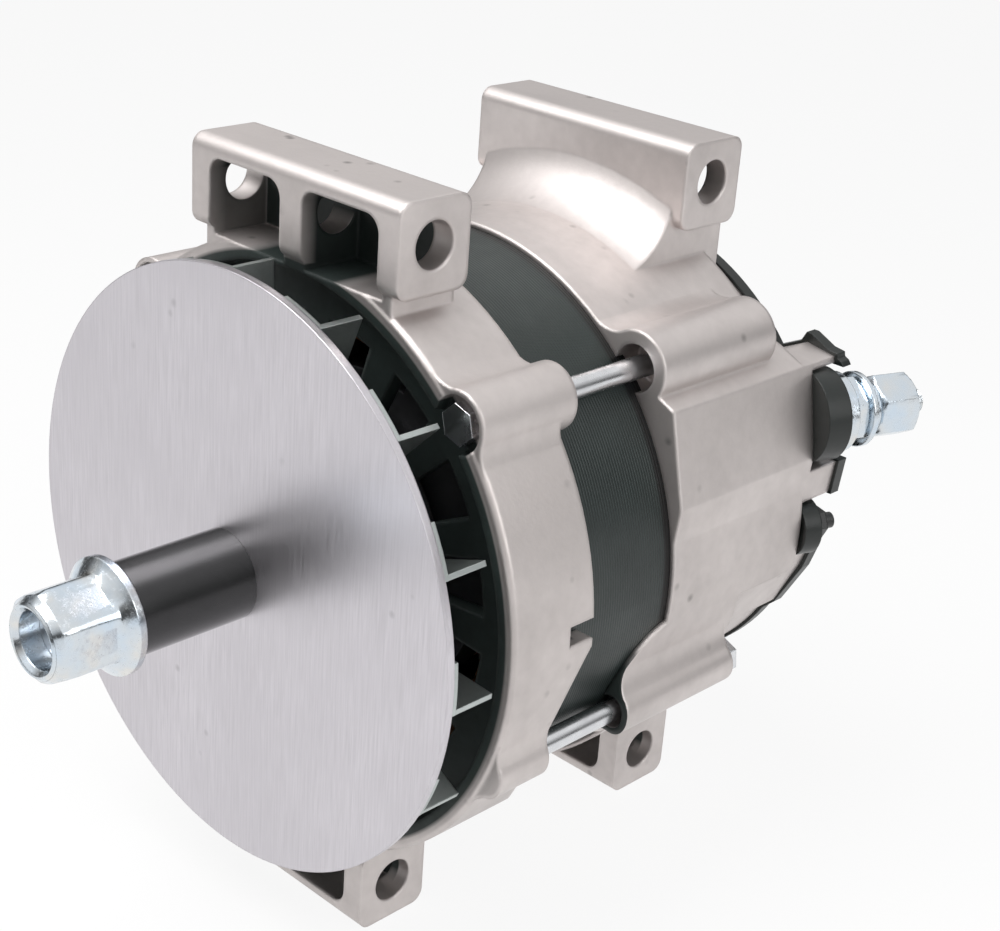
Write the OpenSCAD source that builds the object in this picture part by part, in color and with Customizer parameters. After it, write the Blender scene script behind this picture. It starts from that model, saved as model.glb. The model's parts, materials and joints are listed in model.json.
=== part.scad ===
// Heavy-duty alternator with a flat disc fan and four transverse mounting bores.
// The shaft lies along Y: the pulley end faces -Y and the slip rings are at +Y. +Z is up.
// The origin is on the shaft axis, on the front face of the fan, where a pulley seats.

/* [Shaft and pulley end] */
// Diameter of the shaft under the pulley
pulley_seat_d = 22.2; // [18:0.1:26]
// Length of the spacer sleeve that stands in for the pulley
sleeve_len = 38; // [24:1:60]
// Wall of the spacer sleeve
sleeve_wall = 2; // [1:0.25:4]
// Diameter of the threaded shaft end
thread_d = 15.9; // [10:0.1:17]
// Length of the flange on the pulley nut
nut_flange_t = 3; // [2:0.5:5]
// Diameter of the flange on the pulley nut
nut_flange_d = 33; // [29:0.5:40]
// Width of the pulley nut across its flats
nut_flats = 24; // [20:0.5:27]
// Height of the pulley nut with its flange
nut_height = 25; // [16:0.5:30]
// Length of the rounded nose of the pulley nut
nut_nose_len = 5; // [2:0.5:7]
// Depth of the shaft end below the nose of the nut
shaft_end_recess = 8; // [2:0.5:12]

/* [Fan] */
// Diameter of the fan disc
fan_d = 175; // [166:1:178]
// Thickness of the fan disc
fan_disc_t = 2.5; // [1.5:0.1:4]
// Number of fan blades
fan_blades_n = 15; // [9:1:17]
// Angle of the first blade above the +X axis, in degrees
fan_first_angle = 92.5; // [0:0.5:120]
// Depth of the blades behind the disc
fan_blade_h = 14.5; // [8:0.5:16]
// Thickness of the blade sheet
fan_sheet_t = 1.5; // [1:0.1:2]
// Radius where the blades start
fan_blade_root_r = 50; // [40:1:60]
// Width of the tab that holds a blade to the disc
fan_tab_w = 15; // [8:0.5:17]

/* [Drive end housing] */
// How far the housing ring stands out beyond the stator core
ring_over = 6; // [5.5:0.25:9]
// Wall of the housing ring
ring_wall = 7.5; // [6:0.25:8.5]
// Gap between the fan blades and the housing ring
fan_gap = 4.3; // [3:0.1:6]
// Length of the housing ring
ring_len = 30; // [28:0.5:34]
// Depth of the front wall behind the ring's front edge
front_wall_set = 8.7; // [7:0.1:10]
// Thickness of the front wall
front_wall_t = 5; // [3:0.25:5.5]
// Number of air windows in each end wall
window_n = 16; // [10:1:18]
// Share of each window's pitch that is open
window_share = 0.6; // [0.4:0.05:0.7]
// Inner radius of the air windows
window_in_r = 44; // [42:0.5:50]
// Outer radius of the air windows
window_out_r = 70; // [60:0.5:72]
// Width of the locating notch in the ring's rear edge
notch_w = 6; // [3:0.5:10]
// Depth of the locating notch
notch_depth = 9; // [4:0.5:14]
// Height of the locating notch above the shaft
notch_z = 4; // [-6:0.5:12]

/* [Mounting bars] */
// Diameter of the four mounting bores
mount_bore_d = 13.4; // [11:0.1:15]
// Half length of the two top bars
top_bar_half = 42; // [36:0.5:48]
// Half length of the two foot bars
foot_bar_half = 39; // [34:0.5:44]
// Height of the top bores above the shaft
top_bore_z = 100; // [99:0.25:103]
// Depth of the foot bores below the shaft
foot_bore_z = 96; // [95.5:0.25:99]
// Width of each bar along the shaft
bar_w = 25; // [22:0.5:27]
// Wall above each bore, from its centre to the outer face
bar_cap = 12.5; // [10.5:0.25:15]
// Distance from each bore's centre to the bar's inner face
bar_base = 13.5; // [11:0.25:14]
// Corner radius of the bars
bar_corner_r = 4; // [1:0.25:6]
// Distance from the ring's front edge to the front bores
front_bore_set = 10.7; // [10.5:0.1:12]
// Distance from the rear housing's front face to the rear bores
rear_bore_set = 54.5; // [50:0.5:58]
// Thickness of the walls at the ends of each bar
bar_end_wall = 7.5; // [5:0.25:10]
// Thickness of the rib between the two pockets of a bar
bar_rib = 8.4; // [5:0.2:12]
// Wall at the closed side of the pockets
bar_back_wall = 4.5; // [3:0.25:6]
// Wall over the pockets
bar_roof = 5; // [3:0.25:5.5]
// Corner radius of the pockets
pocket_r = 5; // [1:0.25:7]
// How far the pedestals are set in from the bar ends
pedestal_inset = 4; // [1:0.25:6]
// Radius of the fillet between the rear bar and the housing
rear_fillet_r = 22; // [4:0.5:24]

/* [Stator] */
// Outer radius of the stator core
stator_r = 84; // [83:0.1:84.2]
// Length of the stator core
stator_len = 44.7; // [40:0.1:48]
// Depth that each housing laps over the core
spigot = 3; // [2:0.1:4]
// Number of stator slots
slot_n = 36; // [24:6:36]
// Depth of the stator slots
slot_depth = 13; // [9:0.5:14]
// Width of the stator slots
slot_w = 5.2; // [3:0.1:5.6]
// Height of the winding ends beyond the core
end_turn_h = 8.5; // [5:0.25:9]
// Gap between the stator bore and the inside of the winding ends
end_turn_gap = 2; // [1:0.25:4]
// How far the winding ends are set in from the outside of the core
end_turn_set = 6; // [5:0.25:9]

/* [Rotor] */
// Outer radius of the claw poles
rotor_r = 60; // [58:0.1:60]
// Gap between the claw poles and the stator
air_gap = 0.45; // [0.3:0.05:0.8]
// Length over the two claw poles
rotor_len = 42; // [38:0.5:43]
// Number of claws on each pole
claw_n = 6; // [4:1:7]
// Thickness of the plate of each claw pole
pole_plate_t = 11; // [8:0.25:12]
// Radial thickness of a claw
claw_t = 8.5; // [6:0.25:9]
// Share of the pole pitch that a claw fills at its root
claw_share = 0.8; // [0.6:0.01:0.84]
// Radius of the core inside the field coil
core_r = 27; // [24:0.5:30]
// Wall of the coil bobbin
bobbin_t = 1.5; // [1:0.1:2.5]
// Outer radius of the field coil
coil_r = 49; // [42:0.5:50]
// Radius of the shaft inside the rotor
rotor_seat_r = 14; // [12.7:0.1:15]

/* [Bearings] */
// Bore diameter of the front bearing
front_brg_d = 25; // [24:0.5:27]
// Outer diameter of the front bearing
front_brg_od = 62; // [58:0.5:66]
// Width of the front bearing
front_brg_w = 17; // [14:0.25:17.5]
// Bore diameter of the rear bearing
rear_brg_d = 20; // [19:0.5:22]
// Outer diameter of the rear bearing
rear_brg_od = 47; // [44:0.5:50]
// Width of the rear bearing
rear_brg_w = 14; // [12:0.25:15]
// Number of balls in each bearing
ball_n = 8; // [6:1:8]
// Wall of the bearing bosses
brg_boss_wall = 6; // [4:0.25:7]
// Thickness of the bearing retainer plate
retainer_t = 2; // [1.5:0.1:2.5]

/* [Slip ring end housing] */
// How far the rear housing stands out beyond the stator core
rear_over = 1.6; // [1.2:0.1:3]
// Length of the rear housing
rear_len = 75; // [70:0.5:80]
// Length of the full-width part of the rear housing
rear_body_len = 60; // [54:0.5:64]
// How far the skirt under the rear cover is set in from the rear housing
skirt_set = 10.6; // [7:0.2:12]
// Wall of the skirt
skirt_wall = 4.5; // [4:0.25:6]
// Length of the full-width part below the terminal box
rear_low_len = 34; // [33:0.5:60]
// Distance from the front face to the rear end wall
rear_wall_set = 20; // [18:0.25:22]
// Thickness of the rear end wall
rear_wall_t = 6; // [4:0.25:7]
// Wall of the terminal box on the side
box_wall = 5; // [4:0.25:6]

/* [Through bolts] */
// How far outside the stator core the through bolts stand
bolt_set = 4; // [3.8:0.1:5]
// Diameter of the through bolts
bolt_d = 6.4; // [5:0.1:6.8]
// Radius of the upper bolt bosses at the front
bolt_boss_r = 9.5; // [8:0.25:11]
// Radius of the upper bolt bosses at the rear
rear_boss_r = 11; // [9.5:0.25:12]
// Radius of the lower bolt bosses
low_boss_r = 7; // [6:0.25:9]
// How far the upper front bosses reach over the stator
front_boss_over = 5; // [3:0.25:14]
// Length of the lower front bosses
low_front_boss_len = 18.7; // [16:0.25:24]
// Radius of the scallops in the ring's rear edge at the lower bolts
scallop_r = 54; // [40:1:70]
// Length of the upper rear bosses
rear_boss_len = 50; // [40:1:54]
// How far the lower rear bosses reach forward over the stator
low_boss_reach = 18; // [8:0.5:22]
// Length of the lower rear bosses behind the housing's front face
low_boss_len = 30; // [26:1:40]
// Radius of the lobes that carry the lower rear bosses over the stator
lobe_r = 24; // [18:1:36]
// Angle of the upper bolts above the horizontal
upper_bolt_angle = 43.5; // [40:0.5:48]
// Angle of the lower bolts below the horizontal
lower_bolt_angle = 22.5; // [18:0.5:28]

/* [Terminals] */
// Outward tilt of the terminals from the shaft direction
terminal_tilt = 20; // [10:1:30]
// Diameter of the output stud
output_stud_d = 8; // [6:0.1:10]
// Radius of the output insulator
output_insulator_r = 14.3; // [12:0.1:14.5]
// Thickness of the output insulator
output_insulator_t = 8; // [5:0.25:10]
// Free length of the output stud beyond its nut
output_stud_free = 5; // [3:0.25:10]
// Diameter of the auxiliary stud
aux_stud_d = 5; // [4:0.1:6]
// Radius of the auxiliary insulator
aux_insulator_r = 9; // [7:0.25:10]
// Thickness of the auxiliary insulator
aux_insulator_t = 6; // [4:0.25:8]

/* [Brush gear] */
// Outer radius of the slip rings
slip_ring_r = 15; // [13.5:0.25:16]
// Width of each slip ring
slip_ring_w = 8; // [6:0.25:9]
// Width of a brush across the shaft
brush_w = 8; // [5:0.25:9]
// Thickness of a brush along the shaft
brush_t = 5.5; // [4:0.25:6]
// Length of a brush
brush_len = 18; // [14:0.5:20]
// Travel of a brush into its holder
brush_travel = 5; // [3:0.25:6]
// Length of a brush spring
spring_len = 12; // [10:0.5:16]

/* [Rear cover] */
// Thickness of the cover's rim plate
cover_t = 4; // [2.5:0.25:6]
// How far the cover's rim stands proud of the housing
cover_lip = 1; // [0.5:0.25:2.5]
// Radius of the raised middle of the cover
cover_dome_r = 44; // [38:0.5:45]
// Height of the raised middle of the cover
cover_dome_h = 15; // [10:0.5:24]

/* [Fits] */
// Radial clearance between a housing and what it locates
seat_clear = 0.1; // [0.05:0.01:0.2]
// Radial clearance of a piece pressed on the shaft
press_clear = 0.02; // [0.01:0.01:0.05]
// Radial clearance of bolts and studs in their holes
bolt_clear = 0.3; // [0.15:0.05:0.6]
// Clearance of a brush in its holder
brush_clear = 0.15; // [0.1:0.01:0.3]
// Running clearance inside the bearings and under the brushes
run_clear = 0.05; // [0.03:0.01:0.1]

/* [Hidden] */
$fn = 96;
eps = 0.01;
far = 400;

// Radii that follow the stator core
ring_r = stator_r + ring_over;
rear_r = stator_r + rear_over;
skirt_r = rear_r - skirt_set;
bolt_circle_r = stator_r + bolt_set;
end_turn_in_r = rotor_r + air_gap + end_turn_gap;
end_turn_out_r = stator_r - end_turn_set;

// Stations along the shaft
fan_rear = fan_disc_t + fan_blade_h;
fan_spider_r = 34;
ring_y0 = fan_rear + fan_gap;
ring_y1 = ring_y0 + ring_len;
wall_y0 = ring_y0 + front_wall_set;
wall_y1 = wall_y0 + front_wall_t;
core_y0 = ring_y1 - spigot;
core_y1 = core_y0 + stator_len;
rear_y0 = core_y1 - spigot;
rear_y1 = rear_y0 + rear_len;
body_y1 = rear_y0 + rear_body_len;
rear_wall_y0 = rear_y0 + rear_wall_set;
rear_wall_y1 = rear_wall_y0 + rear_wall_t;
mid_y = (core_y0 + core_y1) / 2;
rotor_y0 = mid_y - rotor_len / 2;
rotor_y1 = mid_y + rotor_len / 2;
front_bore_y = ring_y0 + front_bore_set;
rear_bore_y = rear_y0 + rear_bore_set;
front_bar_y1 = front_bore_y + bar_w / 2;
pedestal_step = 0.6;
face_step = 0.4;

// Front bearing
fan_collar_r = 17;
fb_lip = 2;
fb_y0 = wall_y0 - 3;
fb_y1 = fb_y0 + front_brg_w;
fb_or = front_brg_od / 2;
fb_ir = front_brg_d / 2;
fb_seat_r = fb_or + press_clear;
retainer_y1 = fb_y1 + retainer_t;
retainer_r = fb_or + brg_boss_wall;
retainer_bore_r = fb_ir + 8;
retainer_screw_r = fb_or + brg_boss_wall / 2;
retainer_screw_d = 3;
retainer_screw_len = 8;
screw_head_h = 2;

// Rear bearing
rb_y1 = rear_wall_y1 + 1;
rb_y0 = rb_y1 - rear_brg_w;
rb_or = rear_brg_od / 2;
rb_ir = rear_brg_d / 2;
rb_seat_r = rb_or + press_clear;
rb_lip = 2;
rb_boss_y1 = rb_y1 + rb_lip;
rb_lip_bore_r = rb_ir + 4;

// Slip rings, brushes and their holder
slip_hub_r = slip_ring_r - 3;
tail_r = rb_ir - 1.5;
slip_y0 = rb_boss_y1 + 2;
slip_end = 2;
slip_gap = 4;
slip_len = 2 * slip_ring_w + slip_gap + 2 * slip_end;
slip_y1 = slip_y0 + slip_len;
brush_y = [slip_y0 + slip_end + slip_ring_w / 2, slip_y1 - slip_end - slip_ring_w / 2];
brush_z0 = slip_ring_r + run_clear;
brush_z1 = brush_z0 + brush_len;
spring_z1 = brush_z1 + spring_len;
spring_r = 2.4;
spring_wire = 0.8;
spring_turns = 5;
holder_half = brush_w / 2 + 6;
holder_z0 = slip_ring_r + 3;
holder_z1 = spring_z1 + 4;
holder_y0 = rear_wall_y1;
holder_y1 = slip_y1 + 1;

// Shaft
seat_r = pulley_seat_d / 2;
thread_r = thread_d / 2;
sleeve_r = seat_r + press_clear + sleeve_wall;
nut_y1 = -sleeve_len;
nut_y0 = nut_y1 - nut_height;
shaft_y0 = nut_y0 + shaft_end_recess;
shaft_y1 = slip_y1 + 1;

// Ring and rear housing interiors
ring_in_r = ring_r - ring_wall;
stator_seat_r = stator_r + seat_clear;
bore_r = rotor_r + air_gap;
rear_in_r = end_turn_out_r + 2;
skirt_in_r = skirt_r - skirt_wall;
fillet_sink = 1;
boss_fillet_r = 11;
fillet_bite = 0.15;
compartment_r = rear_in_r;
low_part_z = -12;
low_part_wall = 5;
low_body_y1 = rear_y0 + rear_low_len;
rear_pocket_floor = rear_r + 2;

// Bolts, as angles about the shaft from +X
upper_bolts = [upper_bolt_angle, 180 - upper_bolt_angle];
lower_bolts = [180 + lower_bolt_angle, -lower_bolt_angle];
bolt_r = bolt_d / 2;
bolt_head_h = 4.5;
bolt_head_flats = 10;
bolt_spot_r = 8;
bolt_seat_y = ring_y0 + bolt_head_h + 0.5;
bolt_socket_r = 7;
bolt_socket_len = 10;
bolt_thread_len = 22;
bolt_end_y = rear_y0 + bolt_socket_len + bolt_thread_len;
lower_socket_y = rear_y0 - low_boss_reach;
lower_socket_r = low_boss_r - 2;
lower_head_y = rear_y0 + low_boss_len;
lower_spot_r = bolt_head_flats / sqrt(3) + 0.4;
lower_thread_len = 13;
scallop_y = ring_y0 + low_front_boss_len;
scallop_in_r = stator_r - 0.5;
lower_tip_y = scallop_y - lower_thread_len;

// Terminal box section, as points around its outline in X and Z
box_out_x = rear_r - 0.1;
box_in_x = box_out_x - 29.5;
box_core_x = box_in_x - 6;
box_mid_z = 25;
box_low_z = -3;
function box_points(top_points, lip) = concat(top_points, [
  [box_out_x - 6.5 + lip, 52.5 + lip], [box_out_x + lip, box_mid_z],
  [box_out_x - 3 + lip, box_low_z], [box_out_x - 8 + lip, box_low_z - 14.5 - lip],
  [box_out_x - 15.5, box_low_z - 30 - lip], [box_in_x, box_low_z - 43 - lip]
]);
function box_front_top(lip) = [[box_in_x, 61 + lip], [box_out_x - 15.5, 56.5 + lip]];
function box_rear_top(lip) = [[box_in_x, 47.5 + lip], [box_out_x - 16.5, 54 + lip]];
box_core_points = [
  [box_core_x, 42], [box_out_x - 18.5, 48.5], [box_out_x - 11.5, 47],
  [box_out_x - box_wall - 0.6, box_mid_z - 1], [box_out_x - 3.5 - box_wall, box_low_z],
  [box_out_x - 8.5 - box_wall, box_low_z - 12], [box_out_x - 19.5, box_low_z - 25.5],
  [box_core_x, box_low_z - 33]
];

// Terminals
out_base = [rear_r - 8, rear_y1 - 10.5, 35.5];
aux_base = [rear_r - 6.1, rear_y1 - 12, 0];
recess_gap = 0.8;
out_recess_half = output_insulator_r + recess_gap;
aux_recess_half = aux_insulator_r + recess_gap;
recess_wall = 5;
recess_depth = 30;
clamp_nut_h = 10;
clamp_nut_r = 12.3;
washer_r = 11.5;
washer_t = 2;
lock_washer_r = 8.5;
lock_washer_t = 3;
out_nut_flats = 18;
out_nut_h = 14;
clamp_s = output_insulator_t;
washer_s = clamp_s + clamp_nut_h;
lock_s = washer_s + washer_t;
out_nut_s = lock_s + lock_washer_t;
out_free_s = out_nut_s + out_nut_h + 0.5;
out_tip_s = out_free_s + output_stud_free;
out_head_t = 5;
out_head_r = 5;
out_pocket_r = 6.1;
// Inside its nuts a stud is drawn at this much less than the full radius of its thread
thread_ease = 0.35;
busbar_t = 3;
busbar_ring_r = 5.6;
busbar_x = 58;
busbar_w = 6;
busbar_tab_w = 12;
busbar_tab_len = 16;
out_head_s = -recess_wall - busbar_t;
aux_nut_h = 5;
aux_free_s = aux_insulator_t + aux_nut_h + 0.5;
aux_tip_s = aux_free_s + 3.5;
aux_head_t = 4;
aux_head_r = aux_stud_d / 2 + 0.8;

// Rectifier
sink_t = 4;
sink_in_r = 32;
sink_out_r = skirt_in_r - 1;
neg_y0 = rear_wall_y1 + 6;
neg_y1 = neg_y0 + sink_t;
pos_y0 = neg_y1 + 10;
pos_y1 = pos_y0 + sink_t;
busbar_rise = out_base[1] - pos_y1 - 2;
sink_screw_r = 64;
sink_screw_angles = [-158, -90, -22];
sink_screw_d = 4;
sink_screw_len = 8;
sink_head_h = 3;
sink_pad_r = 7;
diode_r = 6.3;
diode_h = 8;
diode_circle_r = 48;
diode_angles = [-130, -90, -50];
pos_end_angle = 9;
neg_end_angle = -12;
start_angle = -168;

// Regulator
reg_w = 34;
reg_h = 26;
reg_t = 16;
reg_gap = 4;
reg_x = -holder_half - reg_gap - reg_w / 2;
rb_boss_r = rb_or + brg_boss_wall;
reg_z = sqrt(pow(rb_boss_r + 1, 2) - pow(holder_half + reg_gap, 2)) + reg_h / 2;

// Cover screws
cover_screw_d = 3.8;
cover_screw_circle = (skirt_r + skirt_in_r) / 2;
cover_screw_angles = [140, 195, 250, 310];
cover_screw_head_r = 3.6;
cover_screw_head_h = 2.5;
cover_screw_len = 9;
cover_y1 = rear_y1 + cover_t;

// Shapes that are used again and again

module ycyl(r, y0, y1) translate([0, y0, 0]) rotate([-90, 0, 0]) cylinder(h = y1 - y0, r = r);

module ycone(r0, r1, y0, y1)
  translate([0, y0, 0]) rotate([-90, 0, 0]) cylinder(h = y1 - y0, r1 = r0, r2 = r1);

module ytube(ro, ri, y0, y1) difference() {
  ycyl(ro, y0, y1);
  ycyl(ri, y0 - 1, y1 + 1);
}

module xcyl(r, x0, x1) translate([x0, 0, 0]) rotate([0, 90, 0]) cylinder(h = x1 - x0, r = r);

// Turns an outline of radius and Y about the shaft
module yspin() rotate([-90, 0, 0]) rotate_extrude() children();

// Extrudes an outline in X and Z along the shaft
module yprism(y0, y1) translate([0, y1, 0]) rotate([90, 0, 0]) linear_extrude(y1 - y0) children();

// Extrudes an outline in Y and Z along X
module xprism(x0, x1) translate([x0, 0, 0]) rotate([90, 0, 90]) linear_extrude(x1 - x0) children();

// Places children at a radius and an angle about the shaft
module at_angle(a, r) rotate([0, -a, 0]) translate([r, 0, 0]) children();

module rounded_rect(w, h, r) {
  square([w - 2 * r, h], center = true);
  square([w, h - 2 * r], center = true);
  for (sx = [-1, 1], sy = [-1, 1]) translate([sx * (w / 2 - r), sy * (h / 2 - r)]) circle(r = r);
}

function polar(r, a) = [r * cos(a), r * sin(a)];

// A wedge between two angles, up to 170 degrees wide
module wedge(a0, a1, y0, y1) yprism(y0, y1)
  polygon([[0, 0], polar(far, a0), polar(far, (a0 + a1) / 2), polar(far, a1)]);

// A ring segment between two angles
module arc_plate(ro, ri, a0, a1, y0, y1) {
  a_mid = (a0 + a1) / 2;
  intersection() {
    ytube(ro, ri, y0, y1);
    union() {
      wedge(a0, a_mid + 1, y0 - 1, y1 + 1);
      wedge(a_mid - 1, a1, y0 - 1, y1 + 1);
    }
  }
}

// Places children on a terminal's axis, which becomes their Z axis
module on_terminal(base) translate(base) rotate([0, 0, -terminal_tilt]) rotate([-90, 0, 0]) children();

// Windows all round, apart from those between the two angles
module air_windows(y0, y1, closed_from, closed_to) intersection() {
  ytube(window_out_r, window_in_r, y0, y1);
  for (k = [0 : window_n - 1]) {
    a = (k + 0.5) * 360 / window_n;
    half = window_share * 180 / window_n;
    if (a < closed_from || a > closed_to) wedge(a - half, a + half, y0 - 1, y1 + 1);
  }
}

// A ball bearing's race, seen as an outline of radius and Y
module race(ro, ri, y0, y1, groove_r, ball_r) difference() {
  ytube(ro, ri, y0, y1);
  yspin() translate([groove_r, (y0 + y1) / 2]) circle(r = ball_r + run_clear);
}

function pitch_r(ir, or) = (ir + or) / 2;
function ball_r(ir, or) = (or - ir) * 0.3;

module ball_set(ir, or, y) for (k = [0 : ball_n - 1])
  at_angle(k * 360 / ball_n, pitch_r(ir, or)) translate([0, y, 0]) sphere(r = ball_r(ir, or));

// The cage is a ring with a pocket around each ball
module cage_ring(ir, or, y) {
  half = ball_r(ir, or) * 0.55;
  width = ball_r(ir, or) * 1.1;
  difference() {
    ytube(pitch_r(ir, or) + half / 1.6, pitch_r(ir, or) - half / 1.6, y - width, y + width);
    for (k = [0 : ball_n - 1]) at_angle(k * 360 / ball_n, pitch_r(ir, or))
      translate([0, y, 0]) rotate([0, 90, 0])
        cylinder(h = 4 * half, r = ball_r(ir, or) + run_clear, center = true);
  }
}

// Rotating pieces

module shaft() color("darkgray") {
  ycyl(thread_r, shaft_y0, nut_y1 + eps);
  ycyl(seat_r, nut_y1, fb_y0 + eps);
  ycyl(fb_ir - press_clear, fb_y0, fb_y1 + eps);
  ycyl(fb_ir + 4, fb_y1, rotor_y0 + eps);
  ycyl(rotor_seat_r, rotor_y0, rb_y0 + eps);
  ycyl(rb_ir - press_clear, rb_y0, rb_y1 + eps);
  ycyl(tail_r, rb_y1, shaft_y1);
}

module spacer_sleeve() color("#1a1a1a") ytube(sleeve_r, seat_r + press_clear, nut_y1, 0);

module pulley_nut() color("silver") difference() {
  nose_y = nut_y0 + nut_nose_len;
  corner_r = nut_flats / sqrt(3);
  union() {
    intersection() {
      translate([0, nut_y0, 0]) rotate([-90, 0, 0]) cylinder(h = nut_height, r = corner_r, $fn = 6);
      union() {
        ycone(nut_flats / 2 - 2.5, corner_r + 0.4, nut_y0, nose_y);
        ycyl(corner_r + 0.4, nose_y - eps, nut_y1);
      }
    }
    ycyl(nut_flange_d / 2, nut_y1 - nut_flange_t, nut_y1);
    ycone(corner_r - 1, nut_flange_d / 2, nut_y1 - 2 * nut_flange_t, nut_y1 - nut_flange_t);
  }
  ycyl(thread_r + press_clear, nut_y0 - 1, nut_y1 + 1);
  ycone(thread_r + 2, thread_r, nut_y0 - eps, nut_y0 + 2);
}

module fan_disc() color("gainsboro") ytube(fan_d / 2, seat_r + press_clear, 0, fan_disc_t);

// One sheet: a flat ring with tabs on the disc, and a blade bent up from each tab
module fan_blades() color("lightgray") {
  tip_r = fan_d / 2 - 0.3;
  yprism(fan_disc_t, fan_disc_t + fan_sheet_t) difference() {
    union() {
      circle(r = fan_blade_root_r + 4);
      intersection() {
        circle(r = tip_r);
        for (k = [0 : fan_blades_n - 1]) rotate(fan_first_angle - k * 360 / fan_blades_n)
          translate([fan_blade_root_r, -fan_sheet_t / 2]) square([fan_d / 2, fan_tab_w]);
      }
    }
    circle(r = fan_spider_r);
  }
  for (k = [0 : fan_blades_n - 1]) rotate([0, k * 360 / fan_blades_n - fan_first_angle, 0])
    translate([fan_blade_root_r, fan_disc_t + fan_sheet_t / 2, -fan_sheet_t / 2])
      cube([tip_r - 0.1 - fan_blade_root_r, fan_blade_h - fan_sheet_t / 2, fan_sheet_t]);
}

module fan_collar() color("dimgray") ytube(
  fan_collar_r, seat_r + press_clear, fan_disc_t, fb_y0
);

// A claw pole with its plate at the front and its claws pointing back
module claw_pole() {
  root_half = claw_share * 90 / claw_n;
  tip_half = root_half * 0.45;
  reach = rotor_len - 3;
  cut = rotor_r + 5;
  difference() {
    union() {
      ytube(coil_r, rotor_seat_r + press_clear, 0, pole_plate_t);
      intersection() {
        ytube(rotor_r, rotor_seat_r + press_clear, 0, pole_plate_t);
        for (k = [0 : claw_n - 1]) wedge(
          k * 360 / claw_n - root_half, k * 360 / claw_n + root_half, -1, pole_plate_t + 1
        );
      }
      for (k = [0 : claw_n - 1]) intersection() {
        ytube(rotor_r, rotor_r - claw_t, 0, reach);
        rotate([0, -k * 360 / claw_n, 0]) rotate([0, 0, -90]) rotate([0, -90, 0])
          claw_outline(root_half, tip_half, reach, cut);
      }
    }
    translate([0, reach - 4, 0]) yspin() polygon([
      [rotor_r - claw_t - 1, -1], [rotor_r - claw_t + 4, 4.01], [rotor_r - claw_t - 1, 4.01]
    ]);
  }
}

// Side view of a claw: wide at its root and narrow at its tip
module claw_outline(root_half, tip_half, reach, cut) {
  root = rotor_r * sin(root_half);
  tip = rotor_r * sin(tip_half);
  linear_extrude(cut) polygon([[0, -root], [pole_plate_t, -root], [reach, -tip], [reach, tip],
    [pole_plate_t, root], [0, root]]);
}

module front_claw_pole() color("dimgray") translate([0, rotor_y0, 0]) claw_pole();

module rear_claw_pole() color("dimgray")
  translate([0, rotor_y1, 0]) rotate([0, 180 / claw_n, 0]) mirror([0, 1, 0]) claw_pole();

module rotor_core() color("gray") ytube(
  core_r, rotor_seat_r + press_clear, rotor_y0 + pole_plate_t, rotor_y1 - pole_plate_t
);

module coil_bobbin() color("ivory") yspin() polygon([
  [core_r + seat_clear, rotor_y0 + pole_plate_t + 0.1],
  [coil_r - 0.5, rotor_y0 + pole_plate_t + 0.1],
  [coil_r - 0.5, rotor_y0 + pole_plate_t + 0.1 + bobbin_t],
  [core_r + seat_clear + bobbin_t, rotor_y0 + pole_plate_t + 0.1 + bobbin_t],
  [core_r + seat_clear + bobbin_t, rotor_y1 - pole_plate_t - 0.1 - bobbin_t],
  [coil_r - 0.5, rotor_y1 - pole_plate_t - 0.1 - bobbin_t],
  [coil_r - 0.5, rotor_y1 - pole_plate_t - 0.1],
  [core_r + seat_clear, rotor_y1 - pole_plate_t - 0.1]
]);

module field_coil() color("chocolate") ytube(
  coil_r - 1, core_r + 2 * seat_clear + bobbin_t,
  rotor_y0 + pole_plate_t + 0.2 + bobbin_t, rotor_y1 - pole_plate_t - 0.2 - bobbin_t
);

module slip_ring_hub() color("#3a2a20") {
  ytube(slip_hub_r, tail_r + press_clear, slip_y0, slip_y1);
  ytube(slip_hub_r + 1.5, tail_r + press_clear, slip_y0, slip_y0 + slip_end);
  ytube(slip_hub_r + 1.5, tail_r + press_clear, slip_y1 - slip_end, slip_y1);
}

module slip_rings() color("peru") for (y = brush_y)
  ytube(slip_ring_r, slip_hub_r + press_clear, y - slip_ring_w / 2, y + slip_ring_w / 2);

// Bearings

module front_bearing_inner() color("lightsteelblue") race(
  pitch_r(fb_ir, fb_or) - ball_r(fb_ir, fb_or) * 0.6, fb_ir, fb_y0, fb_y1,
  pitch_r(fb_ir, fb_or), ball_r(fb_ir, fb_or)
);

module front_bearing_outer() color("lightsteelblue") race(
  fb_or, pitch_r(fb_ir, fb_or) + ball_r(fb_ir, fb_or) * 0.6, fb_y0, fb_y1,
  pitch_r(fb_ir, fb_or), ball_r(fb_ir, fb_or)
);

module front_bearing_balls() color("lightgray") ball_set(fb_ir, fb_or, (fb_y0 + fb_y1) / 2);

module front_bearing_cage() color("goldenrod") cage_ring(fb_ir, fb_or, (fb_y0 + fb_y1) / 2);

module rear_bearing_inner() color("lightsteelblue") race(
  pitch_r(rb_ir, rb_or) - ball_r(rb_ir, rb_or) * 0.6, rb_ir, rb_y0, rb_y1,
  pitch_r(rb_ir, rb_or), ball_r(rb_ir, rb_or)
);

module rear_bearing_outer() color("lightsteelblue") race(
  rb_or, pitch_r(rb_ir, rb_or) + ball_r(rb_ir, rb_or) * 0.6, rb_y0, rb_y1,
  pitch_r(rb_ir, rb_or), ball_r(rb_ir, rb_or)
);

module rear_bearing_balls() color("lightgray") ball_set(rb_ir, rb_or, (rb_y0 + rb_y1) / 2);

module rear_bearing_cage() color("goldenrod") cage_ring(rb_ir, rb_or, (rb_y0 + rb_y1) / 2);

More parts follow.
